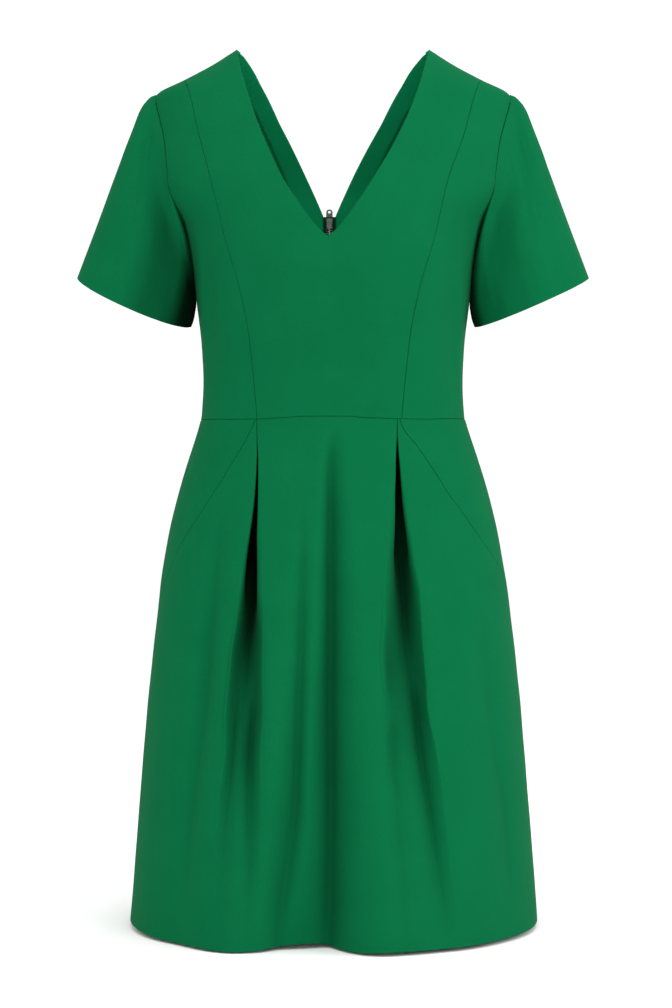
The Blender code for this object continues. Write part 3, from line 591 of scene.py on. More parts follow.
# Soft fullness and drag lines: girth angle, height, how far out, width round, width up, lean.
bodiceFolds = (
    (0.62, -0.190, 0.0045, 0.34, 0.050, 0.0),
    (-0.66, -0.190, 0.0045, 0.34, 0.050, 0.0),
    (-0.03, -0.225, -0.0030, 0.24, 0.060, 0.0),
    (1.16, -0.250, 0.0058, 0.080, 0.060, -1.6),
    (1.02, -0.262, -0.0046, 0.090, 0.060, -1.6),
    (-1.22, -0.240, 0.0046, 0.070, 0.050, 1.4),
    (-1.06, -0.255, -0.0036, 0.090, 0.050, 1.4),
    (0.95, -0.330, -0.0014, 0.060, 0.030, 2.0),
    (-0.90, -0.335, -0.0012, 0.060, 0.030, -2.2),
    (2.30, -0.110, 0.0050, 0.35, 0.060, 0.0),
    (-2.30, -0.115, 0.0050, 0.35, 0.060, 0.0),
    (2.10, -0.285, -0.0030, 0.10, 0.060, 1.2),
    (-2.16, -0.275, -0.0028, 0.10, 0.060, -1.4),
    (2.80, -0.300, 0.0028, 0.12, 0.050, 0.6),
    (-2.72, -0.310, 0.0026, 0.12, 0.045, -0.4),
)


def bodiceRelief(angle, height):
    total = 0.0
    for centre, level, depth, wide, tall, lean in bodiceFolds:
        away = angle - centre - lean * (height - level)
        total = total + depth * hump(away, wide) * hump(height - level, tall)
    fade = falling(height, dress["neckPoint"], bodice["neckFade"])
    return (total + rumple(angle, height, bodice["rumple"])) * fade


def rumple(angle, height, size):
    # the unevenness that no cloth is without
    first = np.sin(angle * 11.3 + height * 37) * np.sin(height * 71 - angle * 4.7 + 1.1)
    second = np.sin(angle * 19.7 - height * 53 + 2.3) * np.sin(height * 43 + angle * 9.1)
    return size * (first + 0.7 * second)


def bodiceForm(angle, height):
    return ringPlace(bodiceRings, angle, height, bodiceRelief(angle, height))


def leaned(angle, height):
    # the front and the back lean, and the sides don't
    front = readCurve(bodice["lean"], height)[0] * rising(np.cos(angle), 0.12, 0.4)
    back = readCurve(bodice["backLean"], height)[0] * rising(-np.cos(angle), 0.4, 0.4)
    return angle + (back - front) / (readCurve(bodiceRings, height)[0] * (1 + dress["squareness"]))


def neckSide(turn, start, lowest, rise, rounded):
    # turn 0 is the neckline's lowest point and 1 the neck point
    share = (1 - np.cos(np.pi * turn)) / 2
    end = readCurve(bodiceRings, dress["neckPoint"])[0]
    across, up = end - start, dress["neckPoint"] - lowest
    length = math.hypot(across, up)
    sag = rise * 4 * share * (1 - share)
    halfWidth = mix(start, end, share) + sag * up / length
    halfWidth = halfWidth + rounded * (1 - np.exp(-share / bodice["rounding"])) * hump(share, 0.5)
    height = mix(lowest, dress["neckPoint"], share) - sag * across / length
    return angleAt(bodiceRings, halfWidth, height), height


def armholeSide(turn, front):
    # turn 0 is the underarm and 1 the shoulder tip
    share = (1 - np.cos(np.pi * turn)) / 2
    depth = bodice["armholeFront"] if front else bodice["armholeBack"]
    cut = depth * np.sin(np.pi * turn) * (1 - bodice["armholeTaper"] * share**2)
    return cut, mix(dress["underarm"], dress["shoulderTip"], share)


def apart(angle, height, side, form=None):
    # an angle moved half the seam gap to one side
    return angle + side * turnFor(form or bodiceForm, angle, height, dress["seamGap"] / 2)


def joined(turns, lower, upper):
    # a side of a piece, up to the underarm (turns 0 to 1) and on to the shoulder (1 to 2)
    below = turns <= 1
    angle, height = np.zeros_like(turns), np.zeros_like(turns)
    angle[below], height[below] = lower(turns[below])
    angle[~below], height[~below] = upper(turns[~below] - 1)
    return angle, height


def frontInner(turns):
    lowest = bodice["frontNeck"][1]

    def upper(turn):
        angle, height = neckSide(turn, *bodice["frontNeck"])
        return np.minimum(angle, apart(quarter, height, -1)), height

    return joined(turns, lambda t: (0 * t, mix(dress["waist"], lowest, t)), upper)


def bustHeights(turns):
    top = bodice["bustSeam"][0][0]
    upper = mix(dress["underarm"], top, (1 - np.cos(np.pi * (turns - 1))) / 2)
    return np.where(turns > 1, upper, mix(dress["waist"], dress["underarm"], turns))


def bustSide(side):
    def place(turns):
        height = bustHeights(turns)
        halfWidth = readCurve(bodice["bustSeam"], height)[0]
        angle = apart(angleAt(bodiceRings, halfWidth, height), height, side)
        return np.minimum(angle, apart(quarter, height, -1)), height

    return place


def armSide(front):
    toward = -1 if front else 1

    def lower(t):
        height = mix(dress["waist"], dress["underarm"], t)
        return apart(quarter, height, toward), height

    def upper(t):
        cut, height = armholeSide(t, front)
        least = np.abs(apart(quarter, height, toward) - quarter)
        return quarter + toward * np.maximum(cut, least), height

    return lambda turns: joined(turns, lower, upper)


def backInner(turns):
    lowest = bodice["backNeck"][1]

    def lower(t):
        height = mix(dress["waist"], lowest, t)
        return np.pi - turnFor(bodiceForm, np.pi, height, zipSizes["halfGap"]), height

    def upper(t):
        angle, height = neckSide(t, *bodice["backNeck"])
        drawn = readCurve(bodice["backTight"], height)[0]
        angle = np.pi - angle + turnFor(bodiceForm, np.pi - angle, height, drawn)
        return np.maximum(angle, apart(quarter, height, 1)), height

    return joined(turns, lower, upper)


def bodicePatch(inner, outer, columns, side):
    # side 1 is the wearer's left and -1 the right
    low = spaced(dress["underarm"] - dress["waist"], bodice["lowerRows"], last=False)[0]
    turns = np.concatenate([low, 1 + np.linspace(0, 1, bodice["upperRows"])[1:]])
    (angle0, height0), (angle1, height1) = inner(turns), outer(turns)
    length = np.linalg.norm(bodiceForm(angle1, height1) - bodiceForm(angle0, height0), axis=-1)
    share = spaced(np.maximum(length, 0.002), columns)
    angle = mix(angle0[:, None], angle1[:, None], share)
    height = mix(height0[:, None], height1[:, None], share)
    angle = leaned(side * angle, height)
    near = (1 - ease(turns / bodice["waistReach"]))[:, None]
    return angle, height + (waistDrop(angle) + dress["seamGap"] / 2) * near, turns


def onForm(form, angle, height, flip):
    # points, outward normals and cloth coordinates, columns running to the wearer's left
    if flip:
        angle, height = angle[:, ::-1], height[:, ::-1]
    points = form(angle, height)
    normals = outward(form, angle, height)
    uv = np.stack([angle * dress["weaveRadius"], height], -1)
    return points, normals, uv


def makeFrontCentre():
    patches = []
    for side in (-1, 1):
        angle, height, turns = bodicePatch(frontInner, bustSide(-1), bodice["centreColumns"], side)
        points, normals, uv = onForm(bodiceForm, angle, height, side < 0)
        inner, outer = ("first", "last") if side > 0 else ("last", "first")
        neck = (inner, bodice["neckLines"], slice(int(np.argmax(turns >= 1)), -3))
        patches += finishEdges(points, normals, uv, [neck] + seams(outer, "bottom", "top"))
    return makeCloth("frontCentre", patches, greenCrepe)


def makeFrontSide(name, side):
    angle, height, _ = bodicePatch(bustSide(1), armSide(True), bodice["sideColumns"], side)
    points, normals, uv = onForm(bodiceForm, angle, height, side < 0)
    sides = seams("first", "last", "bottom", "top")
    return makeCloth(name, finishEdges(points, normals, uv, sides), greenCrepe)


def makeBack(name, side):
    # one side is the zip's edge and then the neckline, which both fold to the inside
    angle, height, _ = bodicePatch(backInner, armSide(False), bodice["backColumns"], side)
    points, normals, uv = onForm(bodiceForm, angle, height, side > 0)
    points = pressDart(points, normals, dartLine(bodiceForm, bodiceRings, bodice["dart"], side))
    folded, sewn = ("last", "first") if side > 0 else ("first", "last")
    sides = [(folded, bodice["zipLines"], slice(None, -3))] + seams(sewn, "bottom", "top")
    patches = finishEdges(points, normals, uv, sides, roll=seam["zipRoll"])
    return makeCloth(name, patches, greenCrepe)


def dartLine(form, rings, ends, side):
    height, halfWidth = np.linspace(*ends, 240).T
    return form(side * (np.pi - angleAt(rings, halfWidth, height)), height)


def armholeRing(count, side):
    # from the shoulder tip down the front, under the arm and up the back, mirrored to the left
    turns = np.linspace(0, 1, count)
    angle0, height0 = armSide(True)(1 + turns[1:])
    angle1, height1 = armSide(False)(1 + turns[1:])
    angle = np.concatenate([angle0[::-1], [quarter], angle1[:-1]])
    height = np.concatenate([height0[::-1], [dress["underarm"]], height1[:-1]])
    way = np.concatenate([0.5 * (1 - turns[1:])[::-1], [0.5], 0.5 * (1 + turns[1:-1])])
    angle = leaned(side * angle, height)
    mirror = np.array((side, 1, 1))
    return bodiceForm(angle, height) * mirror, outward(bodiceForm, angle, height) * mirror, way


sleeve = {
    "outer": (0.2652, 0.0, -0.2142),  # the two ends of the hem's oval
    "inner": (0.1470, 0.0, -0.2653),
    "halfDepth": 0.046,
    "frontDrop": {1: 0.14, -1: 0.235},
    "forward": 0.006,
    "fall": (0.355, 0.0, -0.935),
    "underLeave": (-0.35, 0.0, -0.94),
    "underLand": (0.36, 0.0, -0.93),
    "leave": (0.0172, 0.045, 0.055),  # reach from the armhole over, beside and under the arm
    "land": (0.159, 0.100, 0.028),  # and from the hem
    "pinch": 0.08,  # how pointed the two ends of the hem's oval are
    "clear": 0.0006,  # of the bodice
    "length": 0.19,  # of its cloth, and the way round it
    "round": 0.36,
    "rumple": 0.0004,
    "sway": {1: 0, -1: 0.012},  # share of the way round that the folds lie forward
    "foldsFrom": 0.25,  # share of the way down by which the folds are whole
    # painted shade toward the armpit: how dark over the front, and close to the bodice from way and
    # over
    "shade": {1: (0.08, 0.75, 0.40, 0.06), -1: (0.38, 0.58, 0.34, 0.08)},
    # where and over how much that painted shade comes in at the front, goes at the back and runs
    # down
    "shadeFront": (0.20, 0.09),
    "shadeBack": (0.62, 0.10),
    "shadeDown": (0.10, 0.45),
    "seamShade": (0.55, 0.0012),  # how dark and wide the painted shade along the armhole seam is
    "hemLines": 8,
    "rows": 58,
}

# Soft folds of a sleeve: way round (0 top, 0.25 front), how far down, depth, widths, lean.
sleeveFolds = (
    (0.16, 0.30, -0.0022, 0.035, 0.30, 0.10),
    (0.10, 0.62, 0.0022, 0.050, 0.40, 0.05),
    (0.24, 0.55, 0.0030, 0.050, 0.45, -0.06),
    (0.31, 0.55, -0.0030, 0.045, 0.40, -0.08),
    (0.39, 0.75, -0.0060, 0.070, 0.50, 0.0),
    (0.70, 0.50, 0.0030, 0.060, 0.45, 0.05),
    (0.82, 0.45, -0.0024, 0.045, 0.40, -0.05),
    (0.91, 0.60, 0.0018, 0.040, 0.35, 0.0),
)


def overBesideUnder(values, under):
    near = mix(values[0], values[1], ease(under * 2))
    far = mix(values[1], values[2], ease(under * 2 - 1))
    return np.where(under < 0.5, near, far)[:, None]


def clearOfBodice(points, side):
    halfWidth, front, back = readCurve(bodiceRings, points[..., 2])
    depth = np.where(points[..., 1] < 0, front, back)
    angle = np.arctan2(points[..., 0] / halfWidth, -points[..., 1] / depth)
    relief = bodiceRelief(side * angle, points[..., 2])
    edge = ringPlace(bodiceRings, angle, points[..., 2], relief)
    length = np.hypot(points[..., 0], points[..., 1])
    least = np.hypot(edge[..., 0], edge[..., 1]) + sleeve["clear"]
    pushed = np.maximum(length, least) / length
    return np.stack([points[..., 0] * pushed, points[..., 1] * pushed, points[..., 2]], -1)


def sleeveGrid(side):
    points, normals, way = armholeRing(bodice["upperRows"], side)
    before, after = np.roll(points, 1, 0), np.roll(points, -1, 0)
    under = (1 - np.cos(2 * np.pi * way)) / 2
    leave = unit(np.cross(after - before, normals))
    leave = np.where(leave[:, :1] < 0, -leave, leave)
    leave = mix(leave, np.array((1, 0, -0.02)), ((1 - under) ** 3)[:, None])
    leave = unit(mix(leave, np.array(sleeve["underLeave"]), ease(under * 1.4 - 0.4)[:, None]))
    start = points + unit(mix(leave, normals, (under**4)[:, None])) * dress["seamGap"]
    outer, inner = np.array(sleeve["outer"]), np.array(sleeve["inner"])
    centre = (outer + inner) / 2 - np.array((0, sleeve["forward"], 0))
    forward = unit(np.array((0, -1, -sleeve["frontDrop"][side]))) * sleeve["halfDepth"]
    turn = (2 * np.pi * way)[:, None]
    pinched = np.sin(turn) * np.abs(np.sin(turn)) ** sleeve["pinch"]
    end = centre + (outer - inner) / 2 * np.cos(turn) + forward * pinched
    fall = unit(mix(np.array(sleeve["fall"]), np.array(sleeve["underLand"]), under[:, None]))
    legs = (
        start,
        start + leave * overBesideUnder(sleeve["leave"], under),
        end - fall * overBesideUnder(sleeve["land"], under),
        end,
    )
    # from the hem up to the armhole
    t = 1 - spaced(sleeve["length"], sleeve["rows"])[0][:, None, None]
    weights = ((1 - t) ** 3, 3 * (1 - t) ** 2 * t, 3 * (1 - t) * t * t, t**3)
    grid = sum(leg[None] * weight for leg, weight in zip(legs, weights))
    return grid, way, t[:, :, 0]


def gridNormals(grid, wrap=False):
    if wrap:
        along = np.roll(grid, -1, 1) - np.roll(grid, 1, 1)
    else:
        along = np.gradient(grid, axis=1)
    return unit(np.cross(along, np.gradient(grid, axis=0)))


def makeSleeve(name, side):
    grid, way, t = sleeveGrid(side)
    normals = -gridNormals(grid, True)
    sway = sleeve["sway"][side]
    relief = rumple(way[None] * 6.28, t * sleeve["length"], sleeve["rumple"])
    for centre, down, depth, wide, tall, lean in sleeveFolds:
        away = (way[None] - centre - sway - lean * (t - down) + 0.5) % 1.0 - 0.5
        relief = relief + depth * hump(away, wide) * hump(t - down, tall)
    relief = relief * ease(t / sleeve["foldsFrom"])
    grid = grid + normals * relief[..., None]
    grid = np.concatenate([clearOfBodice(grid[:-1], side), grid[-1:]])
    normals = -gridNormals(grid, True)
    _, facing, _ = armholeRing(bodice["upperRows"], side)
    closed = [np.concatenate([array, array[:, :1]], 1)[:, ::-1] for array in (grid, normals)]
    facing = np.concatenate([facing, facing[:1]])[::-1]
    way = np.concatenate([way, [1.0]])[::-1]
    uv = np.stack([way * sleeve["round"] + 0 * t, -sleeve["length"] * t + 0 * way], -1)
    if side < 0:
        mirror = np.array((-1, 1, 1))
        closed = [(array * mirror)[:, ::-1] for array in closed]
        facing, uv = (facing * mirror)[::-1], uv[:, ::-1]
    # painted shade toward the armpit and along the armhole seam
    broad, close, *nearArm = sleeve["shade"][side]
    ahead = broad * rising(way, *sleeve["shadeFront"]) + close * rising(way, *nearArm)
    shade = ahead * falling(way, *sleeve["shadeBack"]) * rising(t, *sleeve["shadeDown"])
    seamDark, seamWide = sleeve["seamShade"]
    shade = np.maximum(shade, seamDark * hump(t * sleeve["length"], seamWide))
    if side < 0:
        shade = shade[:, ::-1]
    sides = seams("top") + [("bottom", sleeve["hemLines"], whole)]
    patches = finishEdges(*closed, uv, sides, shade, inward=-facing)
    return makeCloth(name, patches, greenCrepe)


skirt = {
    "lean": (  # height, how far the rings lie to the wearer's left
        (-0.357, 0.0), (-0.4, 0.0004), (-0.5, 0.0004), (-0.56, 0.0011), (-0.86, 0.0011),
        (-0.89, 0.0006),
    ),
    "dart": ((-0.357, 0.0700), (-0.455, 0.0830)),  # height, half width at its two ends
    "rumple": 0.0005,
    "waistFade": 0.05,  # the unevenness comes in over this
    "waistReach": 0.060,  # and the waist seam's dip fades out over this
    "creaseShade": 0.34,  # how dark the painted shade in a crease of the next depth is
    "creaseDepth": 0.02,
    "pleatTurn": 0.0011,  # radius of a pleat's folded edge
    # how a pleat's edge rolls in: shares of how softly and how far, out from the slit
    "pleatLip": ((1.6, 0), (1.1, 0), (0.62, 0.10), (0.22, 0.42), (0, 1)),
    "pleatSamples": (2, 2, 2, 2, 2, 3, 2, 2, 2, 2, 2, 2),  # steps along each stretch of half of it
    "leastDepth": 0.004,  # a pleat's painted shade is worked out as if it were at least this deep
    "shadeFrom": (0.001, 0.0003),  # how far in the painted shade of a closed and an open pleat starts
    "wholeShade": 0.75,  # share of a closed pleat's depth by which it is at its darkest
    "valleyShade": 0.58,  # the lower, the sooner an open pleat gets dark
    "straightBack": 0.6,  # how far a pleat goes in straight back rather than square to the skirt
    "straightFrom": (-0.43, 0.07),  # it starts here, and is in full this much farther down
    "foldedWaist": -0.40,  # above this the pleats' layers face inwards
    "slantEnd": -0.546,
    "slant": {  # height, girth angle, from beside the pleat to the side seam
        1: (
            (-0.35, 0.476), (-0.357, 0.479), (-0.367, 0.494), (-0.386, 0.576), (-0.404, 0.641),
            (-0.42, 0.7), (-0.438, 0.765), (-0.455, 0.86), (-0.4723, 0.949), (-0.4979, 1.137),
            (-0.5285, 1.402), (-0.538, 1.49), (-0.546, quarter),
        ),
        -1: (
            (-0.35, 0.568), (-0.357, 0.571), (-0.37, 0.597), (-0.408, 0.703), (-0.442, 0.833),
            (-0.4673, 0.95), (-0.4958, 1.114), (-0.523, 1.25), (-0.538, 1.41), (-0.546, quarter),
        ),
    },
    "rows": 132,
    "centreColumns": 54,
    "stripColumns": 48,
    "hipRadius": 0.15,  # metres of cloth to one radian of girth there
    "backWidth": 0.25,
    "hipColumns": 26,
    "backColumns": 64,
    "hemLines": 8,  # the grid's lines folded back at the hem
    "zipLines": 7,
}

# Inverted pleats. Height, middle and half width of the slit, how softly and how far the edge
# nearer the centre rolls in, the same for the outer edge, reach of the turned cloth, step
# between its layers, how far the underlay falls back, how far the pleat has opened out into a
# valley, and how dark the painted shade inside it is.
pleats = {
    1: (
        (-0.350, 0.0640, 0.0002, 0.0010, 0.0004, 0.0010, 0.0004, 0.022, 0.0021, 0.000, 0.00, 0.0),
        (-0.372, 0.0636, 0.0003, 0.0012, 0.0005, 0.0010, 0.0004, 0.022, 0.0021, 0.002, 0.00, 0.5),
        (-0.386, 0.0638, 0.0009, 0.0018, 0.0008, 0.0012, 0.0005, 0.022, 0.0022, 0.005, 0.00, 0.9),
        (-0.4155, 0.0650, 0.0023, 0.0042, 0.0020, 0.0018, 0.0008, 0.021, 0.0023, 0.012, 0.00, 1.0),
        (-0.445, 0.0664, 0.0031, 0.0076, 0.0044, 0.0036, 0.0020, 0.020, 0.0025, 0.021, 0.28, 0.97),
        (-0.4745, 0.0684, 0.0038, 0.0114, 0.0076, 0.0048, 0.0030, 0.018, 0.0028, 0.028, 0.56, 0.92),
        (-0.504, 0.0702, 0.0048, 0.0130, 0.0092, 0.0060, 0.0042, 0.015, 0.0032, 0.032, 0.84, 0.87),
        (-0.5335, 0.0716, 0.0055, 0.0140, 0.0104, 0.0080, 0.0060, 0.012, 0.0036, 0.034, 0.93, 0.82),
        (-0.563, 0.0728, 0.0055, 0.0140, 0.0110, 0.0090, 0.0070, 0.009, 0.0042, 0.032, 1.00, 0.76),
        (-0.593, 0.0750, 0.0055, 0.0160, 0.0110, 0.0090, 0.0070, 0.007, 0.0046, 0.022, 1.00, 0.62),
        (-0.622, 0.0786, 0.0055, 0.0160, 0.0100, 0.0090, 0.0070, 0.006, 0.0050, 0.008, 1.00, 0.46),
        (-0.652, 0.0826, 0.0055, 0.0160, 0.0100, 0.0100, 0.0080, 0.005, 0.0050, 0.000, 1.00, 0.34),
        (-0.691, 0.0868, 0.0060, 0.0160, 0.0100, 0.0100, 0.0080, 0.005, 0.0050, 0.000, 1.00, 0.22),
        (-0.740, 0.0925, 0.0060, 0.0160, 0.0100, 0.0100, 0.0080, 0.005, 0.0050, 0.000, 1.00, 0.10),
        (-0.890, 0.1060, 0.0060, 0.0160, 0.0100, 0.0100, 0.0080, 0.005, 0.0050, 0.000, 1.00, 0.0),
    ),
    -1: (
        (-0.350, 0.0758, 0.0002, 0.0010, 0.0004, 0.0010, 0.0004, 0.022, 0.0021, 0.000, 0.00, 0.0),
        (-0.372, 0.0758, 0.0002, 0.0010, 0.0004, 0.0010, 0.0004, 0.022, 0.0021, 0.002, 0.00, 0.5),
        (-0.386, 0.0758, 0.0004, 0.0012, 0.0006, 0.0010, 0.0004, 0.022, 0.0022, 0.005, 0.00, 0.9),
        (-0.4155, 0.0762, 0.0010, 0.0022, 0.0012, 0.0014, 0.0006, 0.021, 0.0023, 0.012, 0.00, 1.0),
        (-0.445, 0.0776, 0.0019, 0.0040, 0.0022, 0.0020, 0.0011, 0.020, 0.0025, 0.021, 0.00, 1.0),
        (-0.4745, 0.0798, 0.0032, 0.0060, 0.0042, 0.0026, 0.0018, 0.018, 0.0028, 0.028, 0.06, 1.0),
        (-0.504, 0.0822, 0.0046, 0.0080, 0.0064, 0.0034, 0.0026, 0.015, 0.0032, 0.032, 0.34, 1.0),
        (-0.5335, 0.0846, 0.0050, 0.0095, 0.0082, 0.0044, 0.0036, 0.012, 0.0036, 0.034, 0.68, 0.97),
        (-0.563, 0.0862, 0.0050, 0.0110, 0.0092, 0.0060, 0.0050, 0.010, 0.0040, 0.034, 0.93, 0.92),
        (-0.593, 0.0882, 0.0060, 0.0120, 0.0095, 0.0080, 0.0065, 0.008, 0.0046, 0.028, 1.00, 0.78),
        (-0.622, 0.0890, 0.0060, 0.0130, 0.0100, 0.0100, 0.0080, 0.006, 0.0050, 0.012, 1.00, 0.60),
        (-0.652, 0.0894, 0.0060, 0.0140, 0.0100, 0.0100, 0.0080, 0.005, 0.0050, 0.000, 1.00, 0.46),
        (-0.691, 0.0904, 0.0060, 0.0140, 0.0100, 0.0100, 0.0080, 0.005, 0.0050, 0.000, 1.00, 0.34),
        (-0.740, 0.0932, 0.0060, 0.0140, 0.0100, 0.0100, 0.0080, 0.005, 0.0050, 0.000, 1.00, 0.16),
        (-0.890, 0.0980, 0.0060, 0.0140, 0.0100, 0.0100, 0.0080, 0.005, 0.0050, 0.000, 1.00, 0.0),
    ),
}
# The valley a pleat opens into: height, inner and outer widths, depth, how flat its floor is.
valleys = {
    1: (
        (-0.350, 0.0095, 0.0075, 0.020, 0.0),
        (-0.444, 0.0095, 0.0075, 0.020, 0.0),
        (-0.474, 0.0140, 0.0090, 0.025, 0.0),
        (-0.504, 0.0190, 0.0110, 0.028, 0.0),
        (-0.533, 0.0220, 0.0145, 0.027, 0.1),
        (-0.563, 0.0235, 0.0145, 0.023, 0.3),
        (-0.593, 0.0275, 0.0140, 0.018, 0.5),
        (-0.622, 0.0310, 0.0140, 0.013, 0.8),
        (-0.652, 0.0340, 0.0125, 0.009, 0.8),
        (-0.691, 0.0360, 0.0140, 0.005, 0.8),
        (-0.740, 0.0360, 0.0160, 0.002, 0.8),
        (-0.890, 0.0360, 0.0200, 0.000, 0.8),
    ),
    -1: (
        (-0.350, 0.0080, 0.0060, 0.020, 0.0),
        (-0.444, 0.0080, 0.0060, 0.022, 0.0),
        (-0.474, 0.0100, 0.0070, 0.027, 0.0),
        (-0.504, 0.0130, 0.0085, 0.031, 0.0),
        (-0.533, 0.0155, 0.0100, 0.032, 0.0),
        (-0.563, 0.0172, 0.0116, 0.028, 0.2),
        (-0.593, 0.0192, 0.0138, 0.021, 0.5),
        (-0.622, 0.0198, 0.0160, 0.015, 0.7),
        (-0.652, 0.0204, 0.0182, 0.010, 0.8),
        (-0.691, 0.0215, 0.0205, 0.006, 0.9),
        (-0.740, 0.0230, 0.0220, 0.003, 0.9),
        (-0.890, 0.0250, 0.0230, 0.000, 0.9),
    ),
}

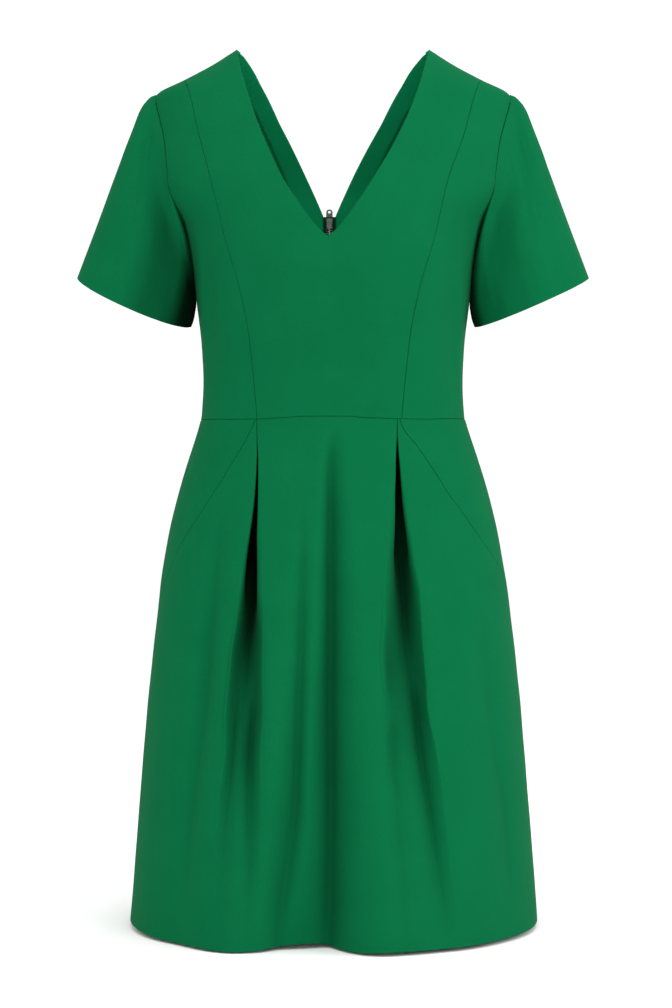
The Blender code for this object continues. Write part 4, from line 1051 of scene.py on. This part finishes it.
# Folds of the skirt: which face, how sharp the bottom is (0 to 1), then rows of height,
# distance to the side, how far out, and its reach towards the wearer's left and right.
skirtFolds = (
    ("front", 1.0, (  # the narrow groove down the middle
        (-0.372, -0.0005, 0.000, 0.014, 0.010),
        (-0.392, -0.0022, -0.005, 0.016, 0.011),
        (-0.420, -0.0032, -0.010, 0.018, 0.012),
        (-0.445, -0.0030, -0.013, 0.020, 0.013),
        (-0.484, -0.0028, -0.016, 0.023, 0.015),
        (-0.563, -0.0030, -0.020, 0.027, 0.018),
        (-0.642, -0.0035, -0.023, 0.030, 0.022),
        (-0.740, -0.0025, -0.024, 0.034, 0.025),
        (-0.838, -0.0040, -0.022, 0.036, 0.026),
        (-0.890, -0.0060, -0.016, 0.038, 0.028),
    )),
    ("front", 0.0, (  # and the broad hollow it lies in
        (-0.460, -0.018, 0.000, 0.030, 0.030),
        (-0.563, -0.020, -0.004, 0.030, 0.030),
        (-0.700, -0.024, -0.011, 0.030, 0.036),
        (-0.800, -0.026, -0.018, 0.030, 0.038),
        (-0.890, -0.028, -0.025, 0.032, 0.040),
    )),
    ("front", 1.0, (
        (-0.450, -0.0300, 0.000, 0.010, 0.014),
        (-0.510, -0.0310, -0.004, 0.011, 0.016),
        (-0.593, -0.0330, -0.008, 0.012, 0.020),
        (-0.642, -0.0350, -0.010, 0.013, 0.022),
        (-0.740, -0.0390, -0.012, 0.015, 0.024),
        (-0.795, -0.0455, -0.011, 0.017, 0.024),
        (-0.838, -0.0515, -0.010, 0.018, 0.024),
        (-0.880, -0.0550, -0.006, 0.020, 0.024),
    )),
    ("front", 0.0, (
        (-0.480, 0.034, 0.000, 0.035, 0.030),
        (-0.600, 0.038, 0.003, 0.035, 0.030),
        (-0.750, 0.044, 0.009, 0.040, 0.034),
        (-0.890, 0.052, 0.018, 0.045, 0.036),
    )),
    ("front", 0.0, (
        (-0.560, -0.085, 0.000, 0.045, 0.045),
        (-0.750, -0.098, 0.009, 0.045, 0.040),
        (-0.890, -0.108, 0.018, 0.050, 0.040),
    )),
    ("front", 0.0, (
        (-0.600, 0.118, 0.000, 0.040, 0.040),
        (-0.890, 0.122, 0.011, 0.050, 0.050),
    )),
    ("front", 0.9, (  # trough beside the right pleat
        (-0.440, -0.1110, 0.000, 0.018, 0.022),
        (-0.500, -0.1160, -0.004, 0.018, 0.024),
        (-0.543, -0.1205, -0.007, 0.018, 0.026),
        (-0.593, -0.1255, -0.010, 0.020, 0.026),
        (-0.642, -0.1290, -0.010, 0.020, 0.026),
        (-0.691, -0.1345, -0.009, 0.020, 0.026),
        (-0.740, -0.1400, -0.008, 0.020, 0.026),
        (-0.790, -0.1450, -0.005, 0.020, 0.024),
        (-0.850, -0.1480, 0.000, 0.020, 0.024),
    )),
    ("front", 1.0, (  # the left pleat's outer wall runs on as a groove
        (-0.600, 0.0765, 0.000, 0.010, 0.010),
        (-0.622, 0.0795, -0.003, 0.011, 0.014),
        (-0.652, 0.0838, -0.010, 0.012, 0.020),
        (-0.691, 0.0868, -0.013, 0.014, 0.024),
        (-0.740, 0.0930, -0.012, 0.016, 0.026),
        (-0.789, 0.0985, -0.009, 0.018, 0.026),
        (-0.850, 0.1060, -0.003, 0.020, 0.026),
        (-0.880, 0.1090, 0.000, 0.020, 0.026),
    )),
    ("front", 1.0, (
        (-0.560, 0.0540, 0.000, 0.008, 0.008),
        (-0.600, 0.0540, -0.005, 0.012, 0.012),
        (-0.640, 0.0545, -0.008, 0.018, 0.014),
        (-0.690, 0.0560, -0.007, 0.022, 0.016),
        (-0.740, 0.0590, -0.005, 0.024, 0.018),
        (-0.800, 0.0630, -0.003, 0.026, 0.018),
        (-0.870, 0.0660, -0.001, 0.028, 0.018),
    )),
    ("front", 1.0, (  # the right pleat's valley ends in two grooves
        (-0.600, -0.0750, 0.000, 0.010, 0.010),
        (-0.632, -0.0790, -0.003, 0.014, 0.010),
        (-0.656, -0.0805, -0.008, 0.018, 0.011),
        (-0.691, -0.0832, -0.011, 0.020, 0.012),
        (-0.740, -0.0830, -0.009, 0.022, 0.014),
        (-0.789, -0.0832, -0.006, 0.022, 0.016),
        (-0.850, -0.0830, -0.001, 0.022, 0.016),
    )),
    ("front", 1.0, (
        (-0.600, -0.0930, 0.000, 0.007, 0.010),
        (-0.640, -0.0980, -0.003, 0.008, 0.012),
        (-0.661, -0.1000, -0.005, 0.009, 0.014),
        (-0.700, -0.1015, -0.006, 0.010, 0.016),
        (-0.745, -0.1055, -0.005, 0.011, 0.018),
        (-0.800, -0.1090, -0.001, 0.012, 0.018),
    )),
    ("front", 0.8, (
        (-0.530, 0.150, 0.000, 0.016, 0.020),
        (-0.600, 0.152, -0.004, 0.016, 0.024),
        (-0.691, 0.160, -0.005, 0.018, 0.024),
        (-0.755, 0.172, -0.006, 0.018, 0.024),
        (-0.830, 0.178, -0.004, 0.018, 0.024),
        (-0.870, 0.182, 0.000, 0.018, 0.024),
    )),
    ("back", 0.7, (
        (-0.470, 0.150, 0.000, 0.030, 0.034),
        (-0.620, 0.152, -0.012, 0.034, 0.038),
        (-0.890, 0.160, -0.020, 0.040, 0.044),
    )),
    ("back", 0.0, (
        (-0.440, 0.105, 0.000, 0.030, 0.030),
        (-0.650, 0.112, 0.008, 0.030, 0.030),
        (-0.890, 0.120, 0.014, 0.036, 0.032),
    )),
    ("back", 0.9, (
        (-0.500, 0.052, 0.000, 0.024, 0.024),
        (-0.680, 0.056, -0.014, 0.030, 0.028),
        (-0.890, 0.060, -0.024, 0.040, 0.036),
    )),
    ("back", 0.0, (
        (-0.560, -0.006, 0.000, 0.030, 0.030),
        (-0.890, -0.010, 0.008, 0.036, 0.030),
    )),
    ("back", 0.9, (
        (-0.480, -0.064, 0.000, 0.026, 0.028),
        (-0.640, -0.070, -0.012, 0.030, 0.034),
        (-0.890, -0.078, -0.021, 0.036, 0.040),
    )),
    ("back", 0.0, (
        (-0.460, -0.120, 0.000, 0.030, 0.030),
        (-0.890, -0.124, 0.013, 0.036, 0.032),
    )),
    ("back", 0.7, (
        (-0.480, -0.158, 0.000, 0.030, 0.030),
        (-0.700, -0.164, -0.011, 0.034, 0.034),
        (-0.890, -0.172, -0.018, 0.036, 0.036),
    )),
)

# How much the hem drops at each girth angle.
hemLine = (
    (-math.pi, 0.0), (-2.4, 0.0012), (-1.9, -0.0008), (-1.5, -0.003), (-0.9, 0.0006),
    (-0.62, 0.001), (-0.42, 0.0016), (-0.1, -0.0019), (0.04, 0.0013), (0.25, -0.0008),
    (0.6, -0.0006), (1.1, -0.0012), (1.5, -0.0026), (2.0, -0.001), (2.5, 0.0012), (math.pi, 0.0),
)


def foldTable(face, rows):
    # the fold's rows with girth angles in place of distances. A fold near the side, where the cloth
    # turns away, is kept from reaching all round it.
    table = []
    for height, sideways, depth, toLeft, toRight in rows:
        angle = float(angleAt(skirtRings, sideways, height))
        spread = max(readCurve(skirtRings, height)[0] * math.cos(angle) * 1.05, 0.06)
        if face == "back":
            angle = math.pi - angle if sideways >= 0 else -math.pi - angle
            toLeft, toRight = toRight, toLeft
        table.append((height, angle, depth, toLeft / spread, toRight / spread))
    return table


foldTables = [(sharp, foldTable(face, rows)) for face, sharp, rows in skirtFolds]


def creased(away):
    # two rounded lobes of cloth that meet in a groove, 1 at its bottom and 0 at its reach
    blunt = 0.08
    near = np.sqrt(away * away + blunt**2) - blunt
    return np.clip(1 - near, 0, 1) ** 2.2


def skirtRelief(angle, height, shaded=False):
    # how far the folds push the cloth out, or how dark the painted shade in their creases is
    total = 0 * angle if shaded else rumple(angle, height, skirt["rumple"])
    total = total * falling(height, dress["waist"], skirt["waistFade"])
    for sharp, table in foldTables:
        centre, depth, toLeft, toRight = readCurve(table, height)
        away = wrapped(angle - centre)
        away = away / np.where(away > 0, toLeft, toRight)
        if shaded:
            total = total + sharp * np.maximum(-depth, 0) * creased(away) ** 2
        else:
            total = total + depth * mix(np.exp(-away * away), creased(away), sharp)
    return total


def foldShade(angle, height):
    # painted shade in the creases' bottoms, deeper creases darker
    depth = skirtRelief(angle, height, shaded=True)
    return skirt["creaseShade"] * depth / skirt["creaseDepth"]


def skirtForm(angle, height):
    fall = ((dress["waist"] - height) / (dress["waist"] - dress["hem"])) ** 2
    place = ringPlace(skirtRings, angle, height, skirtRelief(angle, height))
    place[..., 0] += readCurve(skirt["lean"], height)[0]
    place[..., 2] -= readCurve(hemLine, wrapped(angle))[0] * fall
    return place


def plainSkirt(angle, height):
    return ringPlace(skirtRings, angle, height)


def skirtHeights(bottom):
    length, full = dress["waist"] - bottom, dress["waist"] - dress["hem"]
    share = spaced(length, int(skirt["rows"] * length / full))[0]
    return mix(bottom, dress["waist"], share)


def atWaist(angle, heights):
    # the grid's heights, which follow the seam near the waist
    height = np.broadcast_to(heights[:, None], angle.shape)
    near = 1 - falling(height, dress["waist"], skirt["waistReach"])
    return height + (waistDrop(angle) - dress["seamGap"] / 2) * near


def slantAngle(height, side):
    return readCurve(skirt["slant"][side], height)[0]


def pleatHalf(heights, side, inner):
    # from the turned edge to the middle of the underlay: sideways and inward for each row
    columns = [column[:, None] for column in readCurve(pleats[side], heights)]
    _, near, rollIn, dropIn, rollOut, dropOut, reach, layer, hollow, loose, _ = columns
    roll, drop = (rollIn, dropIn) if inner else (rollOut, dropOut)
    widths = readCurve(valleys[side], heights)
    width, depth, flat = widths[0 if inner else 1][:, None], widths[2][:, None], widths[3][:, None]
    turn, far = skirt["pleatTurn"], near + reach
    path = [(near + softly * roll, deep * drop) for softly, deep in skirt["pleatLip"]]
    path += [
        (near, drop + layer * 0.5),
        (near + turn, drop + layer),
        (mix(near, far, 0.5), drop + layer),
        (far - turn, drop + layer),
        (far, drop + layer * 1.5),
        (far - turn, drop + layer * 2),
        (far * 0.5, drop + layer * 2),
        (0 * far, drop + layer * 2),
        (0 * far, drop + layer * 2),
    ]
    made = []
    for i, (sideways, inward) in enumerate(path[:-1]):
        share = (i - 1) / (len(path) - 3)
        within = np.clip(share, 0, 1)
        wall = depth * mix(within**1.7, 1 - (1 - within) ** 3, flat)
        inward = inward + hollow * ease(share * 1.7 - 0.5)
        sideways = mix(sideways, width * (1 - share), loose)
        made.append(np.stack([sideways, mix(inward, wall, loose)], -1)[:, 0])
    return np.stack(made, 1)


def pleatAcross(heights, side):
    # the whole pleat as a smooth line, from its edge nearer the centre outwards
    inner = pleatHalf(heights, side, True) * np.array((-1, 1))
    outer = pleatHalf(heights, side, False)
    middle = (inner[:, -1:] + outer[:, -1:]) / 2
    control = np.concatenate([inner[:, :-1], middle, outer[:, -2::-1]], 1)
    samples = skirt["pleatSamples"] + skirt["pleatSamples"][::-1]
    spots = [i + f / n for i, n in enumerate(samples) for f in range(n)] + [len(samples)]
    low = np.clip(np.floor(spots).astype(int), 1, control.shape[1] - 3)
    f = (np.array(spots) - low)[None, :, None]
    weights = (
        (1 - f) ** 3 / 6,
        (3 * f**3 - 6 * f**2 + 4) / 6,
        (-3 * f**3 + 3 * f**2 + 3 * f + 1) / 6,
        f**3 / 6,
    )
    return sum(control[:, low + k - 1] * weight for k, weight in enumerate(weights))


def makeSkirtFront():
    heights = skirtHeights(dress["hem"])
    parts = {}
    for side in (-1, 1):
        columns = readCurve(pleats[side], heights)
        pleat = angleAt(skirtRings, columns[0], heights)
        step = turnFor(skirtForm, side * pleat, heights, 1.0)
        across = pleatAcross(heights, side)
        angle = pleat[:, None] + across[..., 0] * step[:, None]
        end = np.where(heights > skirt["slantEnd"], slantAngle(heights, side), quarter)
        end = side * apart(side * end, heights, -side, skirtForm)
        length = np.maximum((end - angle[:, -1]) / step, 0.001)
        share = spaced(length, skirt["stripColumns"], first=False)
        strip = mix(angle[:, -1:], end[:, None], share)[:, 1:]
        inward = np.concatenate([across[..., 1], 0 * strip], 1)
        # painted shade inside the pleats, the darker the deeper in
        deepest = np.maximum(inward.max(1, keepdims=True), skirt["leastDepth"])
        closedFrom, openFrom = skirt["shadeFrom"]
        sudden = rising(inward, closedFrom, skirt["wholeShade"] * deepest)
        slow = np.clip((inward - openFrom) / deepest, 0, 1) ** skirt["valleyShade"]
        dark = columns[-1][:, None] * mix(sudden, slow, columns[-2][:, None])
        parts[side] = (side * np.concatenate([angle, strip], 1), inward, dark, side * angle[:, 0])
    left, right = parts[1], parts[-1]
    share = np.linspace(0, 1, skirt["centreColumns"])[1:-1]
    centre = mix(right[3][:, None], left[3][:, None], share)
    angle = np.concatenate([right[0][:, ::-1], centre, left[0]], 1)
    inward, shade = (
        np.concatenate([right[i][:, ::-1], 0 * centre, left[i]], 1) for i in (1, 2)
    )
    height = atWaist(angle, heights)
    points, facing = skirtForm(angle, height), outward(skirtForm, angle, height)
    straight = skirt["straightBack"] * falling(heights, *skirt["straightFrom"])[:, None, None]
    into = mix(outward(plainSkirt, angle, height), np.array((0.0, -1.0, 0.0)), straight)
    points = points - unit(into) * inward[..., None]
    shade = np.minimum(shade + foldShade(angle, height), 1.0)
    # up at the waist the pleats' turned layers face inwards, so the seam takes the form's normals
    normals = np.where((heights > skirt["foldedWaist"])[:, None, None], facing, gridNormals(points))
    girth = np.cumsum(np.linalg.norm(np.gradient(points, axis=1), axis=-1), 1)
    uv = np.stack([girth - girth[:, [girth.shape[1] // 2]], height], -1)
    sides = seams("first", "last", "top") + [("bottom", skirt["hemLines"], whole)]
    patches = finishEdges(points, normals, uv, sides, shade)
    return makeCloth("skirtFront", patches, greenCrepe)


def makeHip(name, side):
    heights = skirtHeights(skirt["slantEnd"] + 0.0005)
    start = side * apart(side * slantAngle(heights, side), heights, side, skirtForm)
    end = side * apart(side * quarter, heights, -side, skirtForm)
    width = np.maximum((end - start) * skirt["hipRadius"], 0.0005)
    share = spaced(width, skirt["hipColumns"])
    angle = side * mix(start[:, None], end[:, None], share)
    height = atWaist(angle, heights)
    points, normals, uv = onForm(skirtForm, angle, height, side < 0)
    patches = finishEdges(points, normals, uv, seams("first", "last", "top"))
    return makeCloth(name, patches, greenCrepe)


def makeSkirtBack(name, side):
    heights = skirtHeights(dress["hem"])
    closed = falling(heights, zipSizes["end"], zipSizes["closing"])
    gap = mix(zipSizes["halfGap"], dress["seamGap"] / 2, closed)
    start = side * apart(side * quarter, heights, side, skirtForm)
    end = np.pi - turnFor(skirtForm, side * np.pi, heights, 1.0) * gap
    share = spaced(np.full(len(heights), skirt["backWidth"]), skirt["backColumns"])
    angle = side * mix(start[:, None], end[:, None], share)
    height = atWaist(angle, heights)
    points, normals, uv = onForm(skirtForm, angle, height, side < 0)
    points = pressDart(points, normals, dartLine(skirtForm, skirtRings, skirt["dart"], side))
    centre, outer = ("last", "first") if side > 0 else ("first", "last")
    split = int(np.argmax(heights > zipSizes["end"] - zipSizes["closing"]))
    sides = [(centre, "seam", slice(0, split + 1)), (centre, skirt["zipLines"], slice(split, None))]
    sides += seams(outer, "top") + [("bottom", skirt["hemLines"], whole)]
    return makeCloth(name, finishEdges(points, normals, uv, sides), greenCrepe)


zipSizes = {
    "halfGap": 0.0068,
    "end": -0.540,
    "closing": 0.008,  # the backs meet over this under its end
    "top": -0.136,
    "tape": (0.0006, 0.0140),  # from and to, across
    "tapeTail": 0.006,  # how far it goes on under the chain's end
    "topClear": 0.0006,  # of the neckline's fold
    "tapeClear": 0.0001,  # of the cloth
    "tapeShadow": (0.0055, 0.0075),  # painted shadow beside the teeth up to here, and clear from there
    # how dark that painted shadow is
    "tapeDark": 0.75,
    "tapeThick": 0.0006,
    "chainHalf": 0.0035,
    "pitch": 0.0021,  # between two teeth of one side
    "toothHigh": 0.00085,
    "toothThick": 0.0019,
    "toothHead": (0.0003, 0.0010),  # how far it and its tip reach past the middle
    "sliderTop": -0.1384,
    "underSlider": 0.006,  # the chain ends this far under the slider's top
    "sliderMiddle": -0.143,
    "sliderWide": 0.78,  # against the CAD mesh
    "pullWide": 1.14,
    "worn": 0.00018,  # width of its worn edges
}


def wholeBack(angle, height):
    above = bodiceForm(angle, height)
    return np.where((height > dress["waist"])[..., None], above, skirtForm(angle, height))


def zipAngle(height):
    return leaned(np.full_like(height, np.pi), height)


def zipLine(height):
    # a place on the middle of the zip, and its outward direction
    height = np.asarray(height, float)
    back = zipAngle(height)
    point, normal = wholeBack(back, height), outward(wholeBack, back, height)
    return point - normal * (dress["cloth"] + zipSizes["tapeThick"]), normal


def makeTape(name, side):
    low, high = zipSizes["end"] - zipSizes["tapeTail"], zipSizes["top"] - zipSizes["topClear"]
    heights, across = np.linspace(low, high, 130)[:, None], np.linspace(*zipSizes["tape"], 9)[None]
    height = heights + 0 * across
    back = zipAngle(height)
    angle = back - side * turnFor(wholeBack, back, height, 1.0) * across
    dark, clear = zipSizes["tapeShadow"]
    # painted shadow on the tape beside the teeth
    shade = zipSizes["tapeDark"] * (1 - ease((across - dark) / (clear - dark))) + 0 * height
    if side > 0:
        angle, shade = angle[:, ::-1], shade[:, ::-1]
    points, normals = wholeBack(angle, height), outward(wholeBack, angle, height)
    points = points - normals * (dress["cloth"] + zipSizes["tapeClear"])
    uv = np.stack([across + 0 * heights, height], -1)
    patch = {"points": points, "uv": uv, "shade": shade}
    return makeCloth(name, [patch], zipTape, zipSizes["tapeThick"])


def toothShape(side):
    # one tooth on the zip's own axes: x across, y outward, z up; its head is rounded
    half, thick, tall = zipSizes["chainHalf"], zipSizes["toothThick"] / 2, zipSizes["toothHigh"] / 2
    neck, tip = zipSizes["toothHead"]
    outline = [(half, thick * 0.72), (half * 0.45, thick), (-neck, thick), (-tip, thick * 0.55)]
    outline += [(x, -y) for x, y in outline[::-1]]
    rings = []
    for z, swell in ((-tall, 0.82), (-tall * 0.55, 1.0), (tall * 0.55, 1.0), (tall, 0.82)):
        rings.append([(side * x, y * swell, z) for x, y in outline])
    return rings


def makeTeeth():
    form = bmesh.new()
    length = zipSizes["sliderTop"] - zipSizes["underSlider"] - zipSizes["end"]
    count = int(length / zipSizes["pitch"])
    for side in (-1, 1):
        rings = toothShape(side)
        for i in range(count):
            height = zipSizes["end"] + (i + 0.5 * (side > 0)) * zipSizes["pitch"]
            point, normal = zipLine(height)
            above, _ = zipLine(height + 0.001)
            up = unit(above - point)
            turn = np.stack([np.cross(normal, up) * -1, normal, up], 1)
            verts = [[form.verts.new(point + turn @ np.array(p)) for p in ring] for ring in rings]
            for low, high in zip(verts, verts[1:]):
                for j in range(len(low)):
                    k = (j + 1) % len(low)
                    form.faces.new((low[j], low[k], high[k], high[j]))
            form.faces.new(verts[0][::-1])
            form.faces.new(verts[-1])
    bmesh.ops.recalc_face_normals(form, faces=form.faces[:])
    mesh = bpy.data.meshes.new("zipTeeth")
    form.to_mesh(mesh)
    form.free()
    mesh.materials.append(gunmetal)
    teeth = addObject("zipTeeth", mesh)
    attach(teeth, "dress")
    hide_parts("zip_chain")


def makeZipMetal(name, node, body, widen):
    # the slider or its pull, moved over the zip's own line, with worn edges
    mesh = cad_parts[node].data.copy()
    mesh.name = name
    mesh.transform(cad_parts[node].matrix_world)
    middle = zipLine(zipSizes["sliderMiddle"])[0][0]
    for corner in mesh.vertices:
        corner.co.x = middle + corner.co.x * widen
    mesh.materials.clear()
    mesh.materials.append(gunmetal)
    piece = addObject(name, mesh)
    soft = piece.modifiers.new("worn edges", "BEVEL")
    soft.width = zipSizes["worn"]
    soft.segments = 2
    soft.limit_method = "ANGLE"
    soft.angle_limit = math.radians(35)
    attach(piece, body)
    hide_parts(node)


cuts = {  # node: (width, length) of the cut, and its area
    "front_centre": ((0.320, 0.400), 0.0654),
    "front_side": ((0.120, 0.370), 0.0314),
    "back": ((0.240, 0.400), 0.0658),
    "sleeve": ((0.400, 0.200), 0.0447),
    "skirt_front": ((0.660, 0.540), 0.2900),
    "skirt_hip": ((0.130, 0.200), 0.0158),
    "skirt_back": ((0.330, 0.540), 0.1370),
}

sewOn(makeFrontCentre(), "front_centre", *cuts["front_centre"])
for word, side in wearerSides:
    hand = word.lower()
    sewOn(makeFrontSide(f"frontSide{word}", side), f"front_side_{hand}", *cuts["front_side"])
    sewOn(makeBack(f"back{word}", side), f"back_{hand}", *cuts["back"])
print("the bodice is made")
for word, side in wearerSides:
    sewOn(makeSleeve(f"sleeve{word}", side), f"sleeve_{word.lower()}", *cuts["sleeve"])
print("the sleeves are made")
sewOn(makeSkirtFront(), "skirt_front", *cuts["skirt_front"])
for word, side in wearerSides:
    hand = word.lower()
    sewOn(makeHip(f"skirtHip{word}", side), f"skirt_hip_{hand}", *cuts["skirt_hip"])
    sewOn(makeSkirtBack(f"skirtBack{word}", side), f"skirt_back_{hand}", *cuts["skirt_back"])
print("the skirt is made")
for word, side in wearerSides:
    strip = makeTape(f"zipTape{word}", side)
    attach(strip, "dress")
    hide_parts(f"zip_tape_{word.lower()}")
makeTeeth()
makeZipMetal("zipSlider", "zip_slider", "dress", zipSizes["sliderWide"])
makeZipMetal("zipPull", "zip_pull", "pull_tab", zipSizes["pullWide"])
print("the zip is made")


studio = {
    "distance": 2.4,
    "sensor": 36.0,  # millimetres
    "pixel": 0.00104,  # size of a pixel at the dress's middle
    "pixelsHigh": 1008,
    "eye": (0.00312, -2.4, -0.44816),
    "floor": -0.8841,
    "floorReach": 30.0,
    "sky": 1.09,
    "lights": (  # name, place, aimed at, width, height, watts
        ("keySoftbox", (3.0, -0.9, 0.5), (0.0, 0.0, -0.40), 1.2, 1.6, 32.0),
        ("frontSoftbox", (0.1, -2.8, 0.0), (0.0, 0.0, -0.40), 1.2, 1.2, 15.0),
        ("topSoftbox", (0.2, -0.8, 2.2), (0.0, 0.0, -0.5), 2.0, 2.0, 31.0),
    ),
}


def makeCamera():
    data = bpy.data.cameras.new("camera")
    data.sensor_width = studio["sensor"]
    data.lens = studio["sensor"] * studio["distance"] / studio["pixel"] / studio["pixelsHigh"]
    data.clip_end = studio["floorReach"] * 2
    camera = addObject("camera", data)
    camera.location = studio["eye"]
    camera.rotation_euler = (quarter, 0.0, 0.0)
    bpy.context.scene.camera = camera


def makeFloor():
    mesh = bpy.data.meshes.new("floor")
    reach, low = studio["floorReach"], studio["floor"]
    corners = [(x * reach, y * reach, low) for x, y in ((-1, -1), (1, -1), (1, 1), (-1, 1))]
    mesh.from_pydata(corners, [], [(0, 1, 2, 3)])
    material = bpy.data.materials.new("paleFloor")
    material.use_nodes = True
    shader = material.node_tree.nodes["Principled BSDF"]
    shader.inputs["Base Color"].default_value = (0.94, 0.94, 0.94, 1.0)
    shader.inputs["Roughness"].default_value = 0.9
    shader.inputs["Specular IOR Level"].default_value = 0.0
    mesh.materials.append(material)
    floor = addObject("floor", mesh)


def makeLights():
    world = bpy.data.worlds.new("whiteStudio")
    world.use_nodes = True
    sky = world.node_tree.nodes["Background"]
    sky.inputs["Color"].default_value = (1.0, 1.0, 1.0, 1.0)
    sky.inputs["Strength"].default_value = studio["sky"]
    bpy.context.scene.world = world
    for name, place, aim, wide, high, watts in studio["lights"]:
        data = bpy.data.lights.new(name, "AREA")
        data.shape = "RECTANGLE"
        data.size, data.size_y = wide, high
        data.energy = watts
        lamp = addObject(name, data)
        lamp.location = place
        toward = Vector(aim) - Vector(place)
        lamp.rotation_euler = toward.to_track_quat("-Z", "Y").to_euler()


makeCamera()
makeFloor()
makeLights()
bpy.context.scene.view_settings.view_transform = "Standard"
print("the studio is set")
